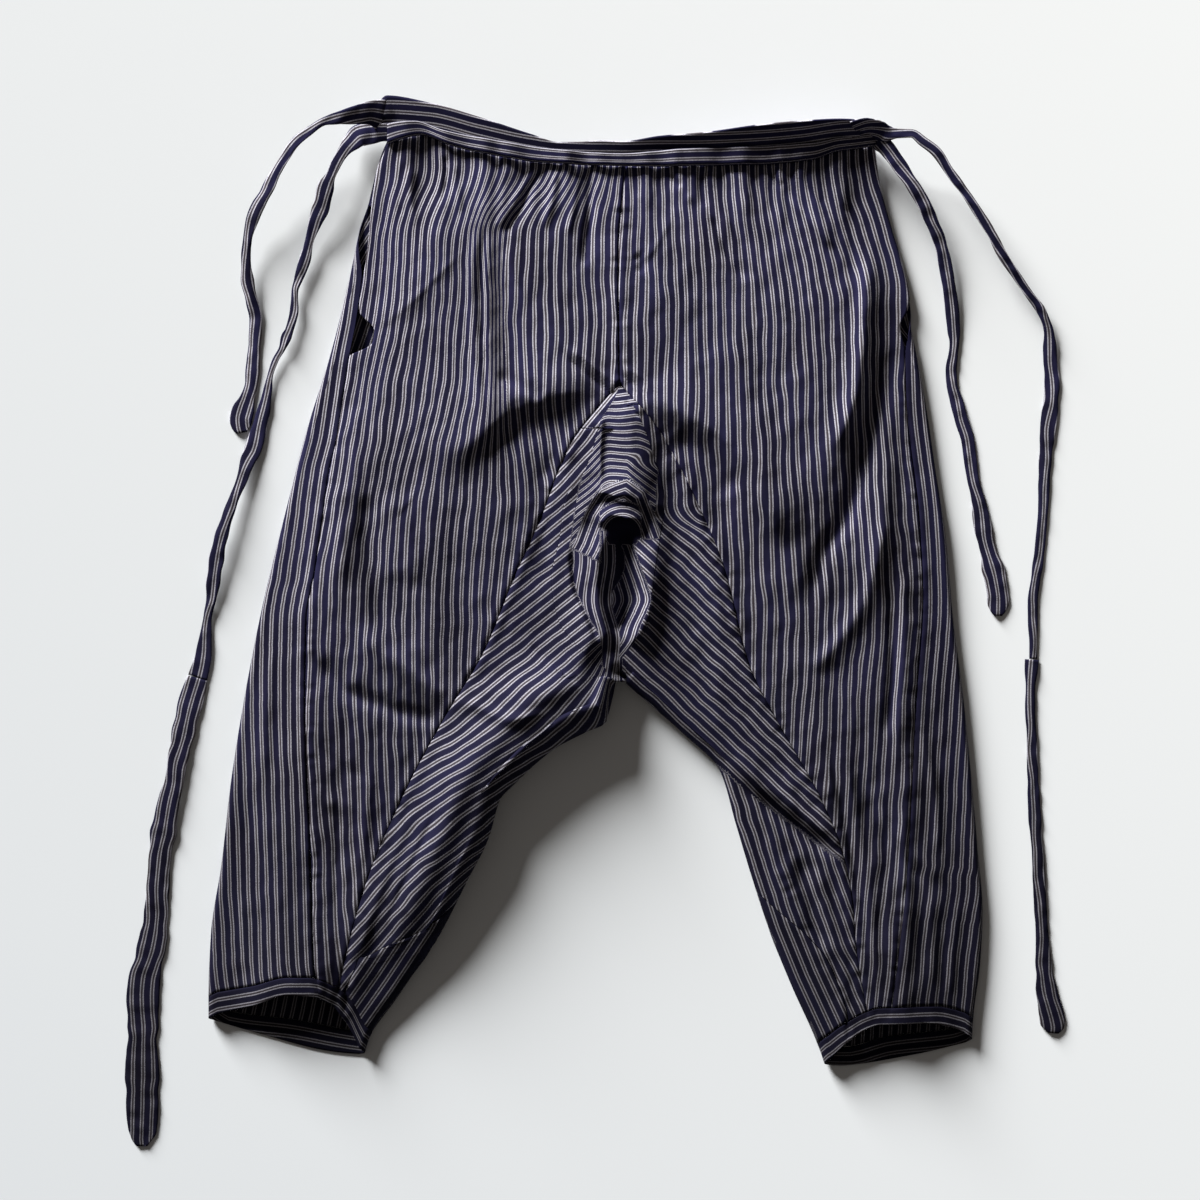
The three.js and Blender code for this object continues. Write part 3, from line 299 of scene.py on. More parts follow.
def y_at(line, x):
    return read_table(line, 0, 1, x)


def level_y(level, x, under=False):
    """The height of a level line at x, for the upper cloth or for the cloth underneath."""
    level, x = np.broadcast_arrays(np.asarray(level, float), np.asarray(x, float))
    waist = y_at(BACK_WAIST if under else WAIST_SEAM, x)
    hem = y_at(HEM_UNDER if under else HEM, x)
    edge = y_at(HEM_EDGE_UNDER if under else HEM_EDGE, x)
    low = np.minimum(level, 1)
    y = (mix(WAIST_LEVEL, HEM_LEVEL, low) + (waist - WAIST_LEVEL) * (1 - low) ** 3
         + (hem - HEM_LEVEL) * low ** 5)
    return np.where(level > 1, mix(hem, edge, (level - 1) / (BAND_END - 1)), y)


def crossing(line, level, under=False):
    """Where a line down the garment crosses the level lines."""
    level = np.asarray(level, float)
    y = mix(WAIST_LEVEL, HEM_LEVEL, np.minimum(level, 1))
    x = x_at(line, y)
    for _ in range(8):
        y = mix(y, level_y(level, x, under), 0.7)
        x = x_at(line, y)
    return x, y


def crossing_x(line, level):
    return crossing(line, level)[0]


def near_line(line, x, y, value=None):
    """Distance to a line of points, the side of it, the length along it and its value there."""
    best = np.full(x.shape, 1e9)
    side = np.zeros(x.shape)
    along = np.zeros(x.shape)
    read = np.zeros(x.shape)
    reach = 0.0
    for i in range(len(line) - 1):
        ax, ay = line[i][:2]
        bx, by = line[i + 1][:2]
        run = math.hypot(bx - ax, by - ay)
        t = np.clip(((x - ax) * (bx - ax) + (y - ay) * (by - ay)) / run ** 2, 0, 1)
        distance = np.hypot(x - mix(ax, bx, t), y - mix(ay, by, t))
        closer = distance < best
        best = np.where(closer, distance, best)
        side = np.where(closer, np.sign((bx - ax) * (y - ay) - (by - ay) * (x - ax)), side)
        along = np.where(closer, reach + run * t, along)
        if value is not None:
            read = np.where(closer, mix(line[i][value], line[i + 1][value], t), read)
        reach += run
    return best, side, along, read


def beside(line, reach, x, y):
    """Which places lie in the box round a line of points, widened by reach."""
    low, high = line[:, :2].min(0) - reach, line[:, :2].max(0) + reach
    return (x > low[0]) & (x < high[0]) & (y > low[1]) & (y < high[1])


def add_ridge(total, line, widths, height, fading, least, x, y):
    """Adds a bell across a line of points, whose height fades to a least share at both ends."""
    near = beside(line, 3 * max(widths), x, y)
    if near.any():
        distance, side, _, at = near_line(line, x[near], y[near], 2)
        width = np.where(side > 0, *widths)
        fade = smooth(at / fading) * smooth((1 - at) / fading)
        total[near] += height * mix(least, 1, fade) * np.exp(-((distance / width) ** 2))


def fold_heights(x, y):
    total = np.zeros(x.shape)
    t = np.linspace(0, 1, 11)
    for ax, ay, bx, by, cx, cy, left, right, height in ALL_FOLDS:
        px = mix(mix(ax, bx, t), mix(bx, cx, t), t)
        py = mix(mix(ay, by, t), mix(by, cy, t), t)
        add_ridge(total, np.stack([px, py, t], 1), (left, right), height, 0.22, 0.15, x, y)
    return total


LATTICE = np.random.default_rng(11).uniform(-1, 1, (256, 256))


def noise(x, y):
    """Smooth noise with about one bump to each unit."""
    i, j = np.floor(x).astype(int), np.floor(y).astype(int)
    s, t = smooth(x - i), smooth(y - j)

    def cell(a, b):
        return LATTICE[(i + a) % 256, (j + b) % 256]

    return mix(mix(cell(0, 0), cell(1, 0), s), mix(cell(0, 1), cell(1, 1), s), t)


def gather_fold(row):
    x, foot_x, foot_y, width, height = row
    top = float(y_at(WAIST_SEAM, x)) + 30
    return (x, top, mix(x, foot_x, 0.4), mix(top, foot_y, 0.5), foot_x, foot_y,
            width, width, height)


ALL_FOLDS = [tuple(row) for row in FOLDS] + [gather_fold(row) for row in GATHERS]

# Finer ridges and creases, drawn along points: (width on the left-hand side of the way, width on
# the right-hand side, height), then the way.
CREASES = [
    # tucks and pleats below the waistband
    ((3, 3, -2.2), (-162, 392), (-166, 366), (-164, 341)),
    ((3, 4, 2.2), (-154, 390), (-156, 360), (-150, 334)),
    ((3, 2, -3), (-128, 396), (-126, 380), (-130, 352)),
    ((3, 4, 2.5), (-120, 392), (-118, 370), (-112, 345)),
    ((4, 3, -4.5), (-43, 388), (-58, 362), (-77, 326)),
    ((5, 3, 3.0), (-52, 386), (-68, 356), (-86, 330)),
    ((3, 3, 2.6), (-32, 386), (-36, 360), (-44, 330)),
    ((3, 3, -3.5), (-5, 384), (-4, 350), (-9, 316), (-6, 300)),
    ((3, 3, 2.4), (-14, 384), (-18, 352), (-24, 325)),
    ((2.5, 2.5, -3), (64, 383), (67, 374), (74, 369)),
    ((3, 3, 2.4), (72, 384), (76, 370), (80, 352)),
    ((3, 3, -2.2), (90, 384), (90, 366), (94, 350)),
    ((2.5, 3, -3.2), (99, 346), (110, 316), (130, 286)),
    ((4, 3, 2.2), (106, 350), (118, 322), (138, 292)),
    ((2.5, 2.5, -3), (150, 384), (153, 373), (160, 368)),
    ((3, 4, 3), (161, 363), (182, 340), (204, 314)),
    ((3, 3, -2.4), (176, 384), (184, 366), (196, 352)),
    ((3, 3, 2), (200, 392), (206, 368), (214, 348)),
    # long pressed creases of the left front
    ((2, 3, 0.9), (-77, 329), (-70, 301), (-60, 274), (-50, 258), (-27, 233), (-4, 216)),
    ((2, 3, 0.8), (-105, 320), (-140, 286), (-157, 269), (-187, 246)),
    ((2.5, 2.5, -3), (-92, 346), (-96, 290), (-94, 230), (-91, 163)),
    ((4, 4, 3), (-99, 340), (-104, 290), (-102, 230), (-99, 175)),
    ((8, 5, -4), (-84, 210), (-62, 199), (-42, 189)),
    # and of the right one
    ((2, 3, 0.9), (68, 346), (47, 312), (38, 306)),
    ((4, 4, -2.5), (34, 312), (40, 304), (36, 294)),
    # puckers where the seams meet
    ((2, 2.5, -3), (-26, 226), (-12, 214), (0, 204), (12, 196), (22, 190)),
    ((2.5, 2, 2.5), (-24, 234), (-8, 221), (4, 211), (14, 203)),
    ((2, 2, -2.5), (20, 210), (30, 203), (38, 196), (46, 184)),
    ((2, 2, 2), (24, 216), (34, 210), (42, 204), (48, 196)),
    ((2, 2, -2.2), (26, 188), (30, 180), (38, 172)),
    # the ridge from the crotch to the left, dark below it
    ((8, 16, 2.2), (16, 196), (-24, 196), (-68, 191), (-81, 172), (-98, 150), (-116, 137), (-134, 118)),
    ((9, 9, -1.5), (-20, 176), (-60, 172), (-76, 152), (-96, 130)),
    # the left front's hollow and the ridges beside it
    ((9, 9, -4.5), (-191, 110), (-193, 87), (-190, 53), (-184, 27), (-174, -15)),
    ((9, 12, 4), (-178, 112), (-160, 70), (-144, 27)),
    ((6, 9, 3), (-214, 120), (-216, 80), (-210, 30)),
    # the double fold that runs over the chevron seam into the left gusset
    ((6, 11, 6.5), (-198, 4), (-184, -20), (-166, -34), (-155, -42), (-140, -54), (-121, -67)),
    ((4, 7, 6.5), (-121, -67), (-102, -69), (-89, -75), (-76, -80), (-64, -81), (-21, -75), (12, -69)),
    ((8, 6, -5.5), (-232, -26), (-228, -38), (-219, -50), (-208, -60), (-183, -70), (-166, -76),
     (-140, -82), (-124, -86)),
    ((12, 9, -2.5), (-168, 46), (-166, 10), (-150, -26)),
    # the right front
    ((8, 6, 6), (230, 320), (229, 280), (226, 239), (221, 197), (211, 167), (198, 135)),
    ((6, 9, -7), (262, 238), (246, 206), (238, 171), (225, 122), (212, 87), (195, 61), (187, 36),
     (178, 2)),
    ((9, 6, 6), (246, 121), (242, 70), (234, 36), (223, 10), (212, -7), (195, -28), (178, -41)),
    ((4, 5, -4), (250, 40), (252, 0), (251, -60), (243, -110)),
    ((8, 5, 4), (258, 60), (262, 0), (260, -60), (254, -130)),
    # the ridge from the crotch to the right, dark below it
    ((20, 7, 5), (48, 192), (81, 175), (110, 156), (130, 132), (141, 110), (153, 87), (159, 58)),
    ((10, 10, -5), (66, 160), (98, 138), (118, 106)),
    # the hood over the crotch: its steep left side, its lower edge and the hollow below it
    ((3, 9, 5), (5, 176), (5, 160), (4, 140), (5, 118)),
    ((3, 7, 3.5), (56, 74), (51, 87), (42, 110), (27, 121), (14, 117), (4, 112), (-8, 94), (-17, 68)),
    ((3, 3, -2), (44, 90), (36, 106), (27, 110), (12, 105), (2, 96)),
    ((4, 4, 7), (40, 80), (37, 94), (28, 100), (17, 98), (8, 92), (4, 78)),
    ((7, 7, -17), (25, 84), (25, 66), (27, 40), (29, 24), (22, 4), (19, -12)),
    # the folds that hang on both sides of it
    ((5, 6, 7), (9, 84), (4, 60), (2, 30), (4, 10), (11, -15), (12, -40), (12, -62)),
    ((3, 3, -6), (-19, 68), (-18, 44), (-15, 26), (-5, 4), (5, -20)),
    ((8, 3, 8), (32, 72), (39, 50), (45, 34), (47, 18), (40, 0), (32, -16), (25, -30)),
    # the right gusset
    ((5, 4, 2), (70, 66), (98, 19), (119, -24), (136, -58), (166, -83)),
    ((5, 7, 6), (106, -98), (136, -130), (174, -160), (214, -192)),
    ((6, 6, -9), (100, -116), (132, -145), (168, -172), (206, -200)),
    ((7, 9, 4), (186, -206), (196, -246), (206, -290)),
    ((8, 7, -5), (172, -196), (182, -236), (196, -280)),
    # the full inner side of the left leg
    ((14, 32, 9), (14, -56), (-20, -76), (-52, -92), (-88, -124), (-112, -162), (-130, -208),
     (-154, -258), (-186, -306)),
    ((20, 14, 5), (60, -66), (96, -98), (122, -142), (140, -190), (158, -240), (182, -300)),
    # crumples on the left leg
    ((6, 7, 1.8), (-262, -96), (-250, -128), (-226, -150), (-196, -160)),
    ((6, 7, -1.8), (-250, -70), (-240, -100), (-216, -122), (-188, -134)),
    ((6, 6, -1.8), (-300, -140), (-290, -190), (-272, -230)),
    ((5, 5, 2.4), (-148, -150), (-168, -190), (-190, -250), (-206, -296)),
    ((4, 3, -2.6), (-132, -156), (-152, -200), (-176, -256)),
    # and on the right one
    ((6, 6, 2.6), (228, -120), (246, -166), (272, -200), (300, -220)),
    ((6, 6, -2.4), (228, -140), (248, -186), (282, -224)),
    ((5, 4, 3), (276, -90), (288, -150), (290, -200)),
    # ripples down the legs
    ((5, 6, 2.2), (-270, 20), (-278, -60), (-282, -150)),
    ((5, 6, -2), (-214, -110), (-218, -190), (-222, -270)),
    ((5, 5, 2.2), (-190, -110), (-196, -190), (-206, -260)),
    ((5, 5, -2), (250, -140), (246, -200), (240, -290)),
    ((6, 5, 3), (262, -150), (262, -220), (266, -300)),
    ((5, 5, 2.6), (206, -90), (222, -170), (234, -250), (238, -310)),
    ((4, 4, -2.5), (196, -100), (212, -170), (224, -240)),
    ((4, 4, 2), (-300, -230), (-296, -270), (-290, -300)),
    ((4, 4, 2), (-268, -220), (-264, -262), (-262, -296)),
    ((3, 3, -1.6), (-282, -240), (-280, -270), (-276, -300)),
    ((4, 4, 2), (284, -230), (284, -270), (284, -310)),
    ((4, 4, 2), (306, -240), (304, -280), (302, -316)),
    ((3, 3, -1.6), (294, -240), (294, -280), (293, -318)),
]
OUTLINES = (OUTER_LEFT, OUTER_RIGHT, INNER_LEFT, INNER_RIGHT)


def smooth_way(points, steps=6):
    """A rounded way through given points."""
    p = np.array(points, float)
    slope = np.gradient(p, axis=0)
    t = np.linspace(0, 1, steps + 1)[:-1, None]
    spans = [cubic(t, *ends) for ends in zip(p, p[1:], slope, slope[1:])]
    return np.concatenate(spans + [p[-1:]])


def crease_heights(x, y):
    total = np.zeros(x.shape)
    for (left, right, height), *points in CREASES:
        way = smooth_way(points)
        line = np.column_stack([way, np.linspace(0, 1, len(way))])
        add_ridge(total, line, (left, right), height, 0.2, 0, x, y)
    return total


def wrinkles(x, y):
    """Small unevenness of worn cotton: soft dents, and narrow ripples near the waist and hems."""
    waist = smooth((y - 290) / 90)
    hem = smooth((-210 - y) / 90)
    soft = 0.9 * noise(x / 34, y / 46) + 0.5 * noise((x + y) / 25 + 7, (x - y) / 17)
    ripples = noise(x / 7.5, y / 75 + 3)
    small = 0.16 * noise(x / 6 + 31, y / 9) + 0.12 * noise((x - y) / 7, (x + y) / 5 + 13)
    return 1.3 * soft + ripples * (0.3 + 1.1 * waist + 0.6 * hem) + 1.3 * small


SEAMS = (CENTRE_SEAM + [[21, 200]], CHEVRON_LEFT, CHEVRON_RIGHT, SIDE_SEAM_LEFT[3:], SIDE_SEAM_RIGHT,
         INNER_SEAM_LEFT, INNER_SEAM_RIGHT)


def seam_heights(x, y):
    """A narrow groove along each seam, a step of folded allowance and puckers beside it."""
    total = np.zeros(x.shape)
    for number, line in enumerate(SEAMS):
        points = np.array(line, float)[:, :2]
        near = beside(points, 20, x, y)
        distance, side, along, _ = near_line(points, x[near], y[near])
        pucker = noise(along / 4.6 + 17 * number, side * 0.4 + 5) * np.exp(-((distance / 7) ** 2))
        total[near] += (1.1 * pucker - 0.6 * np.exp(-((distance / 1.2) ** 2))
                        + 0.6 * np.exp(-(((distance - 4) / 3.2) ** 2)))
    return total


def relief(x, y):
    """The upper cloth's own points over places in the plan."""
    x, y = np.broadcast_arrays(np.asarray(x, float), np.asarray(y, float))
    height = read_table(CROWN, 1, 0, y)
    calm = np.ones(x.shape)
    for outline in OUTLINES:
        distance, _, _, edge = near_line(outline, x, y, 2)
        radius = edge / 2
        height = mix(edge, height, smooth((distance - radius) / CROWN_RUN))
        calm = calm * smooth((distance - radius) / FOLD_CLEARANCE)
        inside = np.clip(radius - distance, 0, radius)
        turned = radius + np.sqrt(radius ** 2 - inside ** 2)
        height = np.where(distance < radius, np.minimum(height, turned), height)
    folds = (fold_heights(x, y) * FOLD_SHARE + crease_heights(x, y) * CREASE_SHARE
             + seam_heights(x, y))
    lifted = height + (folds + wrinkles(x, y)) * calm
    # eased above LOWEST, so that no crease goes through the cloth underneath
    low = LOWEST + 3 * np.exp(np.minimum(lifted - LOWEST - 3, 0) / 3)
    z = np.where(lifted < LOWEST + 3, low, lifted)
    # the hood leans down over the hollow
    hx, hy, radius, overhang = OVERHANG
    away = np.hypot((x - hx) / 0.9, y - hy) / radius
    lean = np.exp(-(away ** 2)) * overhang
    return np.stack([x, y - lean * smooth((z - 16) / 20), z], -1)


# ------------------------------------------------------------------ a row's way round the cloth
def across(start, end, steps):
    return mix(np.asarray(start)[:, None], np.asarray(end)[:, None],
               np.linspace(0, 1, steps + 1)[None])


def top_run(start, end, levels, steps):
    x = across(start, end, steps)
    return relief(x, level_y(levels[:, None], x))


def under_run(start, end, levels, steps):
    x = across(start, end, steps)
    return np.stack([x, level_y(levels[:, None], x, True), np.zeros(x.shape)], -1)


def turned_edge(outline, outward, levels):
    x, y = crossing(outline, levels)
    slope = (x_at(outline, y + 2) - x_at(outline, y - 2)) / 4
    length = np.hypot(1, slope)
    nx, ny = outward / length, -outward * slope / length
    radius = read_table(outline, 1, 2, y) / 2
    return x - nx * radius, y - ny * radius, nx, ny, radius


def edge_arc(edge, levels, steps, down=True):
    x, y, nx, ny, radius = (value[:, None] for value in edge)
    drop = level_y(levels[:, None], x, True) - y
    t = np.linspace(0, 1, steps + 1)[None]
    if not down:
        t = 1 - t
    angle = math.pi / 2 - math.pi * t
    out = radius * np.cos(angle)
    return np.stack([x + nx * out, y + drop * t + ny * out, radius * (1 + np.sin(angle))], -1)


def length_of(way):
    return np.linalg.norm(np.diff(way, axis=1), axis=-1).sum(1)


def join(*runs):
    """Runs joined end to end, and how far along the whole way each of them ends."""
    way, ends = runs[0], [length_of(runs[0])]
    for run in runs[1:]:
        way = np.concatenate([way, run[:, 1:]], 1)
        ends.append(length_of(way))
    return way, ends


def along_columns(points, less=0):
    """Lengths along each row from its first column, each step less a given part of it."""
    steps = np.linalg.norm(np.diff(points, axis=1), axis=-1) - less
    return np.pad(np.cumsum(steps, 1), ((0, 0), (1, 0)))


def along_rows(points):
    return along_columns(points.swapaxes(0, 1)).T


def points_along(way, lengths):
    return np.stack([np.stack([np.interp(want, have, row[:, k]) for k in range(3)], -1)
                     for want, have, row in zip(lengths, along_columns(way), way)])


def front_edge(slit, seam, slit_end):
    """A front's outer edge: beside the slit above slit_end, and on the side seam below it."""
    return lambda y: np.where(y > slit_end, x_at(slit, y), x_at(seam, y))


SIDES = {
    "left": dict(
        outward=-1, outer=OUTER_LEFT, inner=INNER_LEFT, seam=SIDE_SEAM_LEFT,
        edge=front_edge(SLIT_EDGE_LEFT, SIDE_SEAM_LEFT, 226),
        chevron=CHEVRON_LEFT, inner_seam=INNER_SEAM_LEFT, crotch=CROTCH_LEFT,
        start=LEFT_GUSSET_START, slit_top=350),
    "right": dict(
        outward=1, outer=OUTER_RIGHT, inner=INNER_RIGHT, seam=SIDE_SEAM_RIGHT,
        edge=front_edge(SLIT_EDGE_RIGHT, SIDE_SEAM_RIGHT, 232),
        chevron=CHEVRON_RIGHT, inner_seam=INNER_SEAM_RIGHT, crotch=CROTCH_RIGHT,
        start=RIGHT_GUSSET_START, slit_top=286),
}


def body_and_legs(levels):
    return levels[levels < LEG_START], levels[levels >= LEG_START]


def front_points(side, levels, steps):
    out = side["outward"]
    start = crossing_x(side["edge"], levels) - out * SEAM_GAP
    centre_x, centre_y = crossing(CENTRE_SEAM, levels)
    chevron_x = crossing_x(side["chevron"], levels)
    inner = np.where(centre_y > side["chevron"][0][1], centre_x, chevron_x)
    return top_run(start, inner + out * SEAM_GAP, levels, steps)


def leg_way(side, levels):
    out = side["outward"]
    start = crossing_x(side["chevron"], levels) - out * SEAM_GAP
    inner = turned_edge(side["inner"], -out, levels)
    outer = turned_edge(side["outer"], out, levels)
    end = crossing_x(side["seam"], levels) + out * SEAM_GAP
    way, ends = join(
        top_run(start, inner[0], levels, 40), edge_arc(inner, levels, 16),
        under_run(inner[0], outer[0], levels, 12), edge_arc(outer, levels, 16, False),
        top_run(outer[0], end, levels, 26))
    names = ("top", "inner_turn", "flat", "outer_turn", "whole")
    return way, dict(zip(names, ends), start=start)


def gusset_reach(side, levels, leg):
    full = leg["inner_turn"] + UNDER_TURN
    short = np.abs(crossing_x(side["inner_seam"], levels) - leg["start"]) * 1.06
    return mix(full, np.minimum(short, full), smooth((levels - 0.8) / 0.12))


def gusset_points(side, levels, steps):
    out = side["outward"]
    counts = (steps * 3 // 4, steps - steps * 3 // 4)
    body, legs = body_and_legs(levels)
    rows = []
    if len(body):
        start = crossing_x(side["chevron"], body) - out * SEAM_GAP
        end = crossing_x(side["crotch"], body) + out * SEAM_GAP
        way = top_run(start, end, body, 2 * steps)
        whole = length_of(way)
        rows.append(points_along(way, ramp([0 * whole, whole * 0.985, whole], counts)))
    if len(legs):
        way, leg = leg_way(side, legs)
        reach = gusset_reach(side, legs, leg)
        turn = np.minimum(leg["top"] * 0.97, reach * 0.92)
        rows.append(points_along(way, ramp([0 * reach, turn, reach], counts)))
    return np.concatenate(rows)


def ramp(stops, counts):
    """Lengths along a row, evenly spaced between stops."""
    parts = [across(a, b, n)[:, (0 if k == 0 else 1):]
             for k, (a, b, n) in enumerate(zip(stops[:-1], stops[1:], counts))]
    return np.concatenate(parts, 1)


def back_points(side, levels, counts):
    """counts: steps underneath, round the outer edge and over it to the seam."""
    out = side["outward"]
    half = counts[0] // 2
    steps = [half, counts[0] - half, *counts[1:]]
    rows = []
    body, legs = body_and_legs(levels)
    if len(body):
        outer = turned_edge(side["outer"], out, body)
        end = crossing_x(side["seam"], body)
        inset = np.where(out * (outer[0] - end) > 0, end, outer[0])
        under = under_run(np.full(len(body), CENTRE_BACK + out * SEAM_GAP), outer[0], body, 24)
        arc = edge_arc(outer, body, 16, False)
        wrap = top_run(outer[0], inset + out * SEAM_GAP, body, 26)
        way, (flat, outer_turn, whole) = join(under, arc, wrap)
        turned = smooth((side["slit_top"] - outer[1]) / 60)
        around = (whole - flat) * mix(WRAP_START, 1, turned)
        share = mix(0.5, (outer_turn - flat) / (whole - flat), turned)
        rows.append(points_along(way, ramp(
            [0 * flat, flat * 0.5, flat, flat + around * share, flat + around], steps)))
    if len(legs):
        way, leg = leg_way(side, legs)
        reach = gusset_reach(side, legs, leg) + INNER_SEAM_GAP
        bend = np.maximum(reach + 12, leg["inner_turn"])
        rows.append(points_along(way, ramp(
            [reach, bend, leg["flat"], leg["outer_turn"], leg["whole"]], steps)))
    return np.concatenate(rows)


# ------------------------------------------------------------------ meshes
def build(name, points, faces, cloth):
    mesh = bpy.data.meshes.new(name)
    mesh.from_pydata((points * 0.001).tolist(), [], faces)
    layer = mesh.uv_layers.new(name="Cloth")
    index = np.empty(len(mesh.loops), int)
    mesh.loops.foreach_get("vertex_index", index)
    layer.data.foreach_set("uv", cloth[index].astype(np.float32).ravel())
    mesh.polygons.foreach_set("use_smooth", np.ones(len(mesh.polygons), bool))
    obj = bpy.data.objects.new(name, mesh)
    bpy.context.scene.collection.objects.link(obj)
    return obj


def normals_of(points, ring, jump=None):
    """jump is the row where the grid's columns start anew, as at the legs' start."""
    if ring:
        du = np.roll(points, -1, 1) - np.roll(points, 1, 1)
    else:
        du = np.gradient(points, axis=1)
    if jump:
        dv = np.concatenate([np.gradient(points[:jump], axis=0),
                             np.gradient(points[jump:], axis=0)])
    else:
        dv = np.gradient(points, axis=0)
    n = np.cross(du, dv)
    return n / np.maximum(np.linalg.norm(n, axis=-1, keepdims=True), 1e-9)


def shell(name, points, cloth, wall, facing, ring=False, jump=None):
    """A grid of outer points becomes a closed wall. facing is a place in the grid and a
    direction that the cloth's outer side has there."""
    n = normals_of(points, ring, jump)
    (r, c), direction = facing
    flip = np.dot(n[r, c], direction) < 0
    if flip:
        n = -n
    height, width = points.shape[:2]
    both = np.concatenate([points.reshape(-1, 3), (points - n * wall).reshape(-1, 3)])
    grid = np.arange(height * width).reshape(height, width)
    right = np.roll(grid, -1, 1) if ring else grid[:, 1:]
    left = grid if ring else grid[:, :-1]
    a, b = left[:-1].ravel(), right[:-1].ravel()
    d, e = left[1:].ravel(), right[1:].ravel()
    count = height * width
    quads = [np.stack([a, b, e, d], 1), np.stack([a, d, e, b], 1) + count]

    def rim(line, close):
        p, q = (line, np.roll(line, -1)) if close else (line[:-1], line[1:])
        return np.stack([q, p, p + count, q + count], 1)

    quads += [rim(grid[0], ring), rim(grid[-1][::-1], ring)]
    if not ring:
        quads += [rim(grid[::-1, 0], False), rim(grid[:, -1], False)]
    faces = np.concatenate(quads)
    if flip:
        faces = faces[:, ::-1]
    uv = cloth.reshape(-1, 2)
    return build(name, both, faces.tolist(), np.concatenate([uv, uv]))


# ------------------------------------------------------------------ finishes
def fall_off(tree, direction, start, end, low=0.0, high=1.0):
    """A value that runs from low to high between two distances along a direction, in metres
    of the object's own coordinates."""
    place = tree.nodes.new("ShaderNodeTexCoord")
    along = tree.nodes.new("ShaderNodeVectorMath")
    along.operation = "DOT_PRODUCT"
    along.inputs[1].default_value = direction
    span = tree.nodes.new("ShaderNodeMapRange")
    ends = {"From Min": start, "From Max": end, "To Min": low, "To Max": high}
    for socket, value in ends.items():
        span.inputs[socket].default_value = value
    tree.links.new(place.outputs["Object"], along.inputs[0])
    tree.links.new(along.outputs["Value"], span.inputs["Value"])
    return span.outputs["Result"]


def striped(name):
    """Navy cotton with pairs of off-white lines that run along the cloth, and painted shade that
    darkens it towards the hems.
    """
    material = bpy.data.materials.new(name)
    material.use_nodes = True
    tree = material.node_tree
    nodes, link = tree.nodes, tree.links.new
    shader = nodes["Principled BSDF"]
    shader.inputs["Roughness"].default_value = 0.85
    shader.inputs["Specular IOR Level"].default_value = 0.08
    uv = nodes.new("ShaderNodeUVMap")
    uv.uv_map = "Cloth"
    split = nodes.new("ShaderNodeSeparateXYZ")
    link(uv.outputs[0], split.inputs[0])

    def feed(socket, value):
        if isinstance(value, (int, float, tuple)):
            socket.default_value = value
        else:
            link(value, socket)

    def math_node(kind, *values):
        node = nodes.new("ShaderNodeMath")
        node.operation = kind
        for socket, value in zip(node.inputs, values):
            feed(socket, value)
        return node.outputs[0]

    def cloth_noise(across_scale, along_scale, detail=2.0):
        scaled = nodes.new("ShaderNodeCombineXYZ")
        link(math_node("MULTIPLY", split.outputs[0], across_scale), scaled.inputs[0])
        link(math_node("MULTIPLY", split.outputs[1], along_scale), scaled.inputs[1])
        node = nodes.new("ShaderNodeTexNoise")
        node.inputs["Scale"].default_value = 1
        node.inputs["Detail"].default_value = detail
        link(scaled.outputs[0], node.inputs["Vector"])
        return node.outputs["Fac"]

    def band(value, low, high):
        node = nodes.new("ShaderNodeMapRange")
        node.interpolation_type = "SMOOTHSTEP"
        for socket, given in zip(node.inputs, (value, low, high)):
            feed(socket, given)
        return node.outputs["Result"]

    def blend(fac, a, b):
        node = nodes.new("ShaderNodeMix")
        node.data_type = "RGBA"
        feed(node.inputs[0], fac)
        feed(node.inputs[6], a)
        feed(node.inputs[7], b)
        return node.outputs[2]

    # the distance from the middle between the two light lines of a pair, in millimetres
    ragged = math_node("MULTIPLY", math_node("SUBTRACT", cloth_noise(0.6, 2.2), 0.5), 0.5)
    moved = math_node("ADD", split.outputs[0], ragged)
    turn = math_node("MULTIPLY", math_node("FRACT", math_node("DIVIDE", moved, PITCH)), PITCH)
    away = math_node("ABSOLUTE", math_node("SUBTRACT", turn, PITCH / 2))
    # the light line, and the tinted cloth between the two
    line = math_node("MULTIPLY", band(away, 0.6, 0.85),
                     math_node("SUBTRACT", 1.0, band(away, 1.45, 1.8)))
    between = math_node("SUBTRACT", 1.0, band(away, 0.6, 1.0))

    deep, faded = (0.0100, 0.0088, 0.027, 1), (0.0175, 0.0165, 0.054, 1)
    rubbed = (0.045, 0.048, 0.09, 1)
    thin, full = (0.16, 0.15, 0.18, 1), (0.54, 0.53, 0.605, 1)
    grey_brown = (0.065, 0.055, 0.065, 1)
    wear = cloth_noise(1.6, 1.2, 4.0)
    navy = blend(band(cloth_noise(0.03, 0.012, 3.0), 0.3, 0.7), deep, faded)
    navy = blend(band(wear, 0.6, 1.1), navy, rubbed)
    white = blend(band(wear, 0.25, 0.6), thin, full)
    cloth = blend(between, navy, grey_brown)

    # painted shade: the colour darkens from the waist to the hems, where the light falls off
    painted_shade = nodes.new("ShaderNodeVectorMath")
    painted_shade.operation = "SCALE"
    link(blend(line, cloth, white), painted_shade.inputs[0])
    link(fall_off(tree, (-0.1, 0.9, 0), -0.30, 0.35, 0.28, 1.06), painted_shade.inputs["Scale"])
    link(painted_shade.outputs["Vector"], shader.inputs["Base Color"])
    bump = nodes.new("ShaderNodeBump")
    bump.inputs["Strength"].default_value = 0.35
    bump.inputs["Distance"].default_value = 0.0005
    link(cloth_noise(1.8, 1.8, 3.0), bump.inputs["Height"])
    link(bump.outputs[0], shader.inputs["Normal"])
    return material


COTTON = striped("striped cotton")


def dress(node, obj):
    obj.data.materials.append(COTTON)
    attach(obj, "root")
    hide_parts(node)


def panel(node, points, cloth, wall, facing, ring=False, jump=None):
    dress(node, shell(node + "_cloth", points, cloth, wall, facing, ring, jump))


